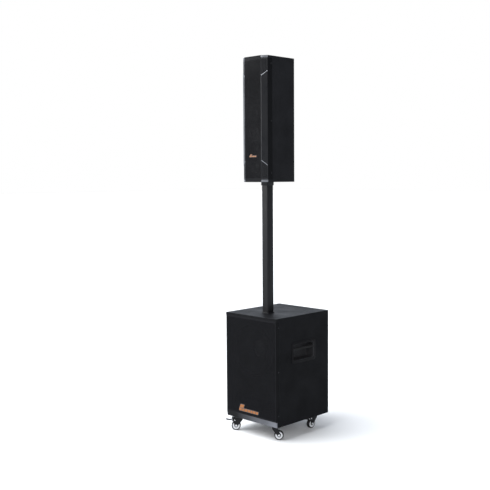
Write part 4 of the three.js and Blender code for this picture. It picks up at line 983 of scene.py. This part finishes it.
def amplifier():
    plan = rounded(amp_high.x - amp_low.x, amp_high.z - amp_low.z, 3, 4, AMP.x, AMP.z)
    outer = along_y(plan, amp_low.y, amp_high.y)
    y0, y1 = amp_low.y - 1, amp_high.y + 1
    cutters = []
    for node, radius in (("mic_level_knob", 3.4), ("line_level_knob", 3.4), ("master_level_knob", 3.4),
                         ("input_socket_1", 12.3), ("input_socket_2", 12.3), ("speaker_outlet", 15.3)):
        spot = middle(node)
        cutters.append(peg(spot.x, spot.z, radius, y0, y1))
    inlet, rocker = middle("mains_inlet"), middle("power_rocker")
    cutters.append(slab((inlet.x - 14.3, y0, inlet.z - 10.8), (inlet.x + 14.3, y1, inlet.z + 10.8)))
    cutters.append(slab((rocker.x - 7.1, y0, rocker.z - 10.7),
                        (rocker.x + 7.1, y1, rocker.z + 10.7)))
    carve("amp_panel", outer, cutters, "amp", body="subwoofer", replaces=["amp_plate"], slot="amp_paint")

    low, high = box("amp_heatsink")
    base, tip, fin, count = 3, high.y, 3, 11
    pitch = (high.x - low.x - fin) / (count - 1)
    comb = [(low.x, low.y), (high.x, low.y)]
    for i in range(count - 1, -1, -1):
        left = low.x + i * pitch
        if i < count - 1:
            comb.append((left + fin, low.y + base))
        comb += [(left + fin * 0.8, tip), (left + fin * 0.2, tip)]
        if i > 0:
            comb.append((left, low.y + base))
    build("amp_heatsink_fins", Shape().add(prism(comb, low.z, high.z)), ["heatsink"], "subwoofer",
          ["amp_heatsink"], "heatsink_alloy", 0.35, 2)

    marks = Shape()
    for node, body in (("mic_level_knob", "mic_knob"), ("line_level_knob", "line_knob"),
                       ("master_level_knob", "master_knob")):
        x, z = knob_piece(node, body)
        for i in range(11):
            a = math.radians(-150 + 30 * i)
            tick = facing_rear(x, amp_face, z) @ Matrix.Rotation(a, 4, "Z")
            long = 2.6 if i % 5 == 0 else 1.6
            marks.add(slab((-0.35, 11, 0.01), (0.35, 11 + long, 0.12)), 0, tick)
    # A thin printed frame round the sockets and one under the knobs.
    for z0, z1 in ((AMP.z - 82, AMP.z - 36), (AMP.z - 137, AMP.z - 92)):
        x0, x1, t = AMP.x - 104, AMP.x + 104, 0.5
        rear = facing_rear(0, amp_face, 0)
        for low, high in (((x0, z0), (x1, z0 + t)), ((x0, z1 - t), (x1, z1)), ((x0, z0), (x0 + t, z1)),
                          ((x1 - t, z0), (x1, z1))):
            marks.add(slab((low[0], low[1], 0.01), (high[0], high[1], 0.1)), 0, rear)
    build("amp_panel_marks", marks, ["print"], "subwoofer", slot="amp_paint")

    for i in (1, 2):
        round_socket(f"input_socket_{i}", 3, 5.5, "screw")
    round_socket("speaker_outlet", 4, 6, "trim_edge")

    place = rear_of("mains_inlet")
    w, h, deep = spans("mains_inlet")
    rows = [(28, 21, 2, -deep), (28, 21, 2, -2), (w, h, 4, -2), (w, h, 4, -0.6), (w - 1.2, h - 1.2, 3.6, 0),
            (24, 17, 4, 0), (23, 16, 4, -1), (23, 16, 4, -deep + 2.5)]
    shape = Shape().add(tube(rows, close=True), 0, place)
    for u, v in ((-6, -1.5), (0, 2.5), (6, -1.5)):
        shape.add(slab(((u - 1), (v - 2.4), -deep + 2.5), ((u + 1), (v + 2.4), -4)),
                  1, place)
    build("mains_inlet_shell", shape, ["plastic", "bright"], "subwoofer", ["mains_inlet"], "socket_plastic",
          smooth=40)

    low, high = box("power_rocker")
    centre = Vector(((low.x + high.x) / 2, amp_face, rocker.z))
    tilt = Matrix.Rotation(math.radians(9), 4, "X")
    half_tall, dish = 9.5, 9.5 * math.tan(math.radians(9))
    profile = []
    for i in range(9):
        v = -half_tall + 2 * half_tall * i / 8
        profile.append((dish / 2 - dish * (1 - abs(v) / half_tall) ** 0.8, v))
    profile += [(-7, 5.25), (-7, -5.25)]
    stroke = Matrix.Translation(centre) @ tilt
    shape = Shape().add(along_x(profile, -6.5, 6.5), 0, stroke)
    shape.add(slab((-0.4, -0.6, 4.2), (0.4, 0.35, 7.4)), 1, stroke)
    build("power_rocker_cap", shape, ["rubber", "print"], "rocker", ["power_rocker"], "knob_rubber", 0.35, 2)

    rows = [(17, 24.6, 1.5, 0.05), (17, 24.6, 1.5, 0.9), (14.4, 21.8, 0.8, 0.9), (14.4, 21.8, 0.8, -2.5)]
    bezel = Shape().add(tube(rows), 0, facing_rear(rocker.x, amp_face, rocker.z))
    build("power_rocker_bezel", bezel, ["plastic"], "subwoofer", slot="socket_plastic", smooth=35)

    lamps = Shape()
    for u in (-14, 0, 14):
        lamp = facing_rear(AMP.x + u, amp_face, AMP.z + 10)
        lamps.add(lathe([(2, 0), (2, 0.8), (1.4, 1.7), (0, 2.1)], 20), 0, lamp)
    build("amp_lamps", lamps, ["lamp"], "subwoofer", slot="amp_paint", smooth=50)

    spots = [(sx * (AMP.x + 118), AMP.z + v) for sx in (-1, 1) for v in (-143, -71, 0, 71, 143)]
    spots += [(AMP.x, AMP.z + v) for v in (-144, 144)]
    screws("amp_screws", [facing_rear(x, amp_face, z) for x, z in spots], 3.4, 1.6)
    ears = [facing_rear(inlet.x + s * 16.6, box("mains_inlet")[1].y, inlet.z) for s in (-1, 1)]
    screws("mains_inlet_screws", ears, 1.6, 0.7)


amplifier()
clean_mesh("sub_baffle", "board")
clean_mesh("sat_baffle", "board")
clean_mesh("amp_board", "circuit")
clean_mesh("sat_crossover", "circuit")


# ---------------------------------------------------------------- pole and its sockets
def pole():
    low, high = box("pole_tube")
    x, y = (low.x + high.x) / 2, (low.y + high.y) / 2
    r, wall, lift, room, well = POLE_CORNER, 2, 0.3, POLE_ROOM, POLE_WELL
    size, inner = POLE_SIZE, POLE_SIZE - 2 * wall

    def square(name, node, body, rows, **ends):
        """A piece through square rows of (size, corner radius, z)."""
        made = tube([(across, across, corner, z) for across, corner, z in rows], **ends)
        build(name, Shape().add(made, 0, Matrix.Translation((x, y, 0))), ["pole"], body, [node], "pole_paint",
              smooth=35)

    square("pole_tube_painted", "pole_tube", "pole", [
        (size - 1, r, low.z), (size, r, low.z + 0.6), (size, r, high.z - 0.6), (size - 1, r, high.z),
        (inner, r - wall, high.z), (inner, r - wall, low.z)], wrap=True)
    low, high = box("pole_socket")
    top, collar = SUB["top"] + lift, high.x - low.x
    square("pole_socket_collar", "pole_socket", "subwoofer", [
        (well, 3, low.z), (well, 3, top), (collar, r, top), (collar, r, high.z - 2.4),
        (collar - 1.2, r, high.z - 0.8), (collar - 3.6, r, high.z), (room + 1.2, r, high.z),
        (room, r, high.z - 0.7), (room, r, low.z + 3)], close=True)
    low, high = box("sat_pole_socket")
    under, collar = box("sat_cabinet")[0].z - lift, high.x - low.x
    square("sat_socket_collar", "sat_pole_socket", "satellite", [
        (room, r, high.z - 3), (room, r, low.z + 0.7), (room + 1.2, r, low.z), (collar - 3, r, low.z),
        (collar - 1, r, low.z + 0.7), (collar, r, low.z + 2), (collar, r, under), (well, 3, under),
        (well, 3, high.z)], close=True)

    # The lock screw: a knurled head that stands out of the collar, and its shank.
    low, high = box("pole_lock_knob")
    face = y + collar / 2 + lift
    place = facing_rear(x, face, (low.z + high.z) / 2)
    length, r = high.y - face, (high.z - low.z) / 2
    rows = [(0, 0.9, 0), (0.12, 1, 0), (0.16, 1, 0.08), (0.84, 1, 0.08), (0.9, 0.96, 0), (1, 0.8, 0)]
    shape = Shape().add(knurled([(w * length, base * r, ridge * r) for w, base, ridge in rows], 36, 2, 1),
                        0, place)
    shank = (high.y - low.y) - length - 0.05
    shape.add(lathe([(0, -shank), (1.9, -shank), (1.9, 0)], 16), 1, place)
    build("pole_lock_thumbscrew", shape, ["rubber", "bright"], "lock_knob", ["pole_lock_knob"], "knob_rubber",
          smooth=35)


pole()


# ---------------------------------------------------------------- satellite
sat_low, sat_high = box("sat_cabinet")
sheet_low, sheet_high = box("sat_grille")
WING_WIDTH, WING_DEPTH, SAT_SHEET, SAT_WALL = 30.25, 20, 1.5, 12
wing_back = sat_low.y + WING_DEPTH
facet_inner = sat_high.x - WING_WIDTH
facet = math.hypot(WING_WIDTH, WING_DEPTH)


def sat_cabinet():
    w = sat_high.x
    plan = [(-w, wing_back), (-facet_inner, sat_low.y), (facet_inner, sat_low.y), (w, wing_back)]
    plan += rear_corners(w, sat_high.y, 12)
    bottom, top = sat_low.z, sat_high.z
    baffle_front = box("sat_baffle")[0].y
    sheet_back = sheet_high.y + 0.3
    seat = SAT_SHEET + 0.3
    pole_at, jack = middle("sat_pole_socket"), middle("sat_jack_plate")
    well = POLE_WELL / 2 + 0.3
    cutters = [slab(*corners) for corners in [
        ((-w + SAT_WALL, sat_low.y - FAR, bottom + SAT_WALL),
         (w - SAT_WALL, sat_high.y - SAT_WALL, top - SAT_WALL)),
        ((-FAR, sat_low.y - FAR, bottom + SAT_WALL), (FAR, baffle_front, top - SAT_WALL)),
        ((-FAR, sat_low.y - FAR, bottom + SAT_WALL), (-w + seat, sheet_back, top - SAT_WALL)),
        ((w - seat, sat_low.y - FAR, bottom + SAT_WALL), (FAR, sheet_back, top - SAT_WALL)),
        ((pole_at.x - well, pole_at.y - well, bottom - FAR),
         (pole_at.x + well, pole_at.y + well, bottom + 2 * SAT_WALL)),
    ]]
    cutters += [peg(jack.x + s * 21, jack.z, 12.3, sat_high.y - 2 * SAT_WALL, sat_high.y + 100)
                for s in (-1, 1)]
    def at_end(a, b):
        return min(a.z, b.z) > top - NEAR or max(a.z, b.z) < bottom + NEAR

    def in_front(a, b):
        return max(a.y, b.y) < wing_back + NEAR

    # The angled front facets take the paler wing_end paint: a painted reflection.
    def facets(centre, normal):
        return normal.y < -0.3 and abs(normal.x) > 0.3 and centre.y < wing_back

    rounds = [
        (lambda a, b: at_end(a, b) and in_front(a, b), 1.5, 3),
        (lambda a, b: at_end(a, b) and max(a.y, b.y) > wing_back + 1.0, 2.5, 3),
    ]
    carve("sat_cabinet_shell", prism(plan, bottom, top), cutters, "sat_paint", rounds, ("wing_end", facets),
          body="satellite", replaces=["sat_cabinet"], slot="cabinet_paint")


TRIM = {"top_inner": 101, "top_outer": 77, "foot_inner": 111, "foot_outer": 85, "margin": 1}


def sat_front():
    low, high = sheet_low.z, sheet_high.z
    inset, foot, pitch, hole = 1.6, 8, 5, 1.95
    radius = 2
    start = radius * math.tan(0.5 * math.atan2(WING_DEPTH, WING_WIDTH))

    def under_trim(mirrored):
        def plain(u, v):
            along = (u + inset + start) / facet
            share = 1 - along if mirrored else along
            drop, rise = TRIM["top_inner"] - TRIM["top_outer"], TRIM["foot_outer"] - TRIM["foot_inner"]
            top = sat_high.z - TRIM["top_inner"] + share * drop - low - foot
            base = sat_low.z + TRIM["foot_inner"] + share * rise - low - foot
            return base - 3 < v < top + 3
        return plain

    ends = [(-sat_high.x, sheet_high.y), (-sat_high.x, wing_back), (-facet_inner, sat_low.y),
            (facet_inner, sat_low.y), (sat_high.x, wing_back), (sat_high.x, sheet_high.y)]
    panels = {1: (inset, foot, under_trim(True), pitch, hole), 2: (inset, foot, None, pitch, hole),
              3: (inset, foot, under_trim(False), pitch, hole)}
    folded("sat_grille_sheet", ends, low, high, SAT_SHEET, radius, panels, "satellite", "sat_grille",
           "grille_steel")
    heights = [sat_high.z - 40, (sat_low.z + sat_high.z) / 2 - 8, sat_low.z + 47]
    places = [facing_side(s, s * sat_high.x, wing_back + 25, z) for s in (-1, 1) for z in heights]
    screws("sat_grille_screws", places, 3.2, 1.2, "satellite")


def wing_trim(side, node):
    """A trapezoid plate on a swept-back facet; its slanted ends and inner edge are chamfers, coloured paler
    as a painted highlight.
    """
    inner, outer = TRIM["margin"], facet - TRIM["margin"]
    z0, z1 = sat_low.z, sat_high.z
    corners = [(inner, z0 + TRIM["foot_inner"]), (outer, z0 + TRIM["foot_outer"]),
               (outer, z1 - TRIM["top_outer"]), (inner, z1 - TRIM["top_inner"])]
    ins = [(inner + 1.6, corners[0][1] + 2.2), (outer - 0.8, corners[1][1] + 3.2),
           (outer - 0.8, corners[2][1] - 3.2), (inner + 1.6, corners[3][1] - 2.2)]
    lift, thick = 0.3, 1.5
    rings = [[(u, v, lift) for u, v in corners], [(u, v, lift + 0.5) for u, v in corners],
             [(u, v, lift + thick) for u, v in ins]]
    points, faces = loft(rings)
    faces += [(3, 2, 1, 0), (8, 9, 10, 11)]
    run = Vector((WING_WIDTH, WING_DEPTH, 0)).normalized()
    place = axes((facet_inner, sat_low.y, 0), run, (0, 0, 1), (run.y, -run.x, 0))
    points = [place @ Vector(p) for p in points]
    if side < 0:
        points = [Vector((-p.x, p.y, p.z)) for p in points]
        faces = [tuple(reversed(face)) for face in faces]
    shape = Shape().add((points, faces))
    # The slanted ends take the pale grey and the inner edge the darker grey: painted highlights on the
    # chamfers.
    for i in (4, 6):
        shape.looks[i] = 1
    shape.looks[7] = 2
    build(f"{node}_plate", shape, ["trim", "trim_edge", "trim_line"], "satellite", [node], "trim_satin",
          0.15, 1, smooth=20)


def sat_rear():
    low, high = box("sat_jack_plate")
    x, z, face = (low.x + high.x) / 2, (low.z + high.z) / 2, high.y
    plan = rounded(high.x - low.x, high.z - low.z, 5, 5, x, z)
    outer = along_y(plan, face - 2, face)
    wells = [x - 21, x + 21]
    carve("sat_jack_panel", outer, [peg(u, z, 11.5, face - 50, face + 50) for u in wells], "amp",
          body="satellite", replaces=["sat_jack_plate"], slot="amp_paint")
    for i, u in enumerate(wells):
        place = facing_rear(u, face, z)
        deep = face - low.y
        profile = [(0, -deep), (12, -deep), (12, -2.2), (11.4, -2), (11.4, 0.4),
                   (11, 0.8), (10.1, 0.8), (9.5, 0), (9.5, -deep + 2.5),
                   (0, -deep + 2.5)]
        shape = Shape().add(lathe(profile, 40), 0, place)
        for k in range(4):
            pin = place @ Matrix.Rotation(math.pi / 2 * k, 4, "Z")
            shape.add(slab((3.5, -0.9, -deep + 2.5), (4.6, 0.9, -7)), 1, pin)
        shape.add(lathe([(2.2, -deep + 2.5), (2.2, -5), (0, -4.5)], 20), 0, place)
        build(f"sat_jack_{i + 1}", shape, ["plastic", "bright"], "satellite", slot="socket_plastic",
              smooth=40)
    spots = [facing_rear(x + u, face, z + v) for u, v in four(42, 20)]
    screws("sat_jack_screws", spots, 2.8, 1.2, "satellite")


sat_cabinet()
sat_front()
wing_trim(1, "sat_trim_right")
wing_trim(-1, "sat_trim_left")
sat_rear()


# ---------------------------------------------------------------- studio
FLOOR_REACH, FLOOR_DROP = 60, 0.0003
FLOOR_LIT, FLOOR_SEEN = (0.55, 0.56, 0.58, 1), (0.95, 0.955, 0.96, 1)
SKY_TINT, BACKDROP = (0.84, 0.9, 1.0, 1), (-0.72, 0.68, 0.12)


def sky(name, toward, strength, spread, tint=(1, 1, 1)):
    """Very wide light from a direction, which lights the floor evenly to the horizon."""
    data = bpy.data.lights.new(name, "SUN")
    data.angle, data.energy, data.color = math.radians(spread), strength, tint
    lamp = bpy.data.objects.new(name, data)
    lamp.rotation_euler = Vector(toward).to_track_quat("Z", "Y").to_euler()
    bpy.context.scene.collection.objects.link(lamp)


def studio():
    mesh = bpy.data.meshes.new("floor")
    r = FLOOR_REACH
    mesh.from_pydata([(-r, -r, 0), (r, -r, 0), (r, r, 0), (-r, r, 0)], [], [(0, 1, 2, 3)])
    floor = bpy.data.objects.new("floor", mesh)
    floor.location.z = -FLOOR_DROP
    pale = bpy.data.materials.new("pale_floor")
    net = Net(pale)
    tone = net.blend(FLOOR_LIT, FLOOR_SEEN, net.add("LightPath", "Is Camera Ray", {}))
    net.fill(net.nodes["Principled BSDF"], {"Base Color": tone, "Roughness": 0.8, "Specular IOR Level": 0.0})
    mesh.materials.append(pale)
    bpy.context.scene.collection.objects.link(floor)

    sky("overhead", (-0.5, -0.9, 2.0), 3.1, 50, (0.96, 0.98, 1.0))
    sky("key", (-1.5, -1.8, 0.7), 1.7, 40)
    sky("fill", (1.0, -0.8, 0.45), 1.4, 40)

    # A bright backdrop behind the object, in an otherwise dim room, and white where the camera sees it.
    world = bpy.data.worlds.new("studio")
    bpy.context.scene.world = world
    net = Net(world)
    net.nodes.clear()
    seen = net.add("Background", "Background", {"Color": (1, 1, 1, 1), "Strength": 1.0})
    toward = net.add("VectorMath", "Value", {0: net.add("TexCoord", "Generated", {}),
                                             1: Vector(BACKDROP).normalized()}, operation="DOT_PRODUCT")
    ambient = net.add("Background", "Background", {"Color": SKY_TINT,
                                                   "Strength": net.ramp(toward, 0.1, 0.9, 0.14, 1.2)})
    to_camera = net.add("LightPath", "Is Camera Ray", {})
    mixed = net.add("MixShader", "Shader", {"Fac": to_camera, 1: ambient, 2: seen})
    net.links.new(mixed, net.nodes.new("ShaderNodeOutputWorld").inputs["Surface"])
    bpy.context.scene.view_settings.view_transform = "Standard"


studio()
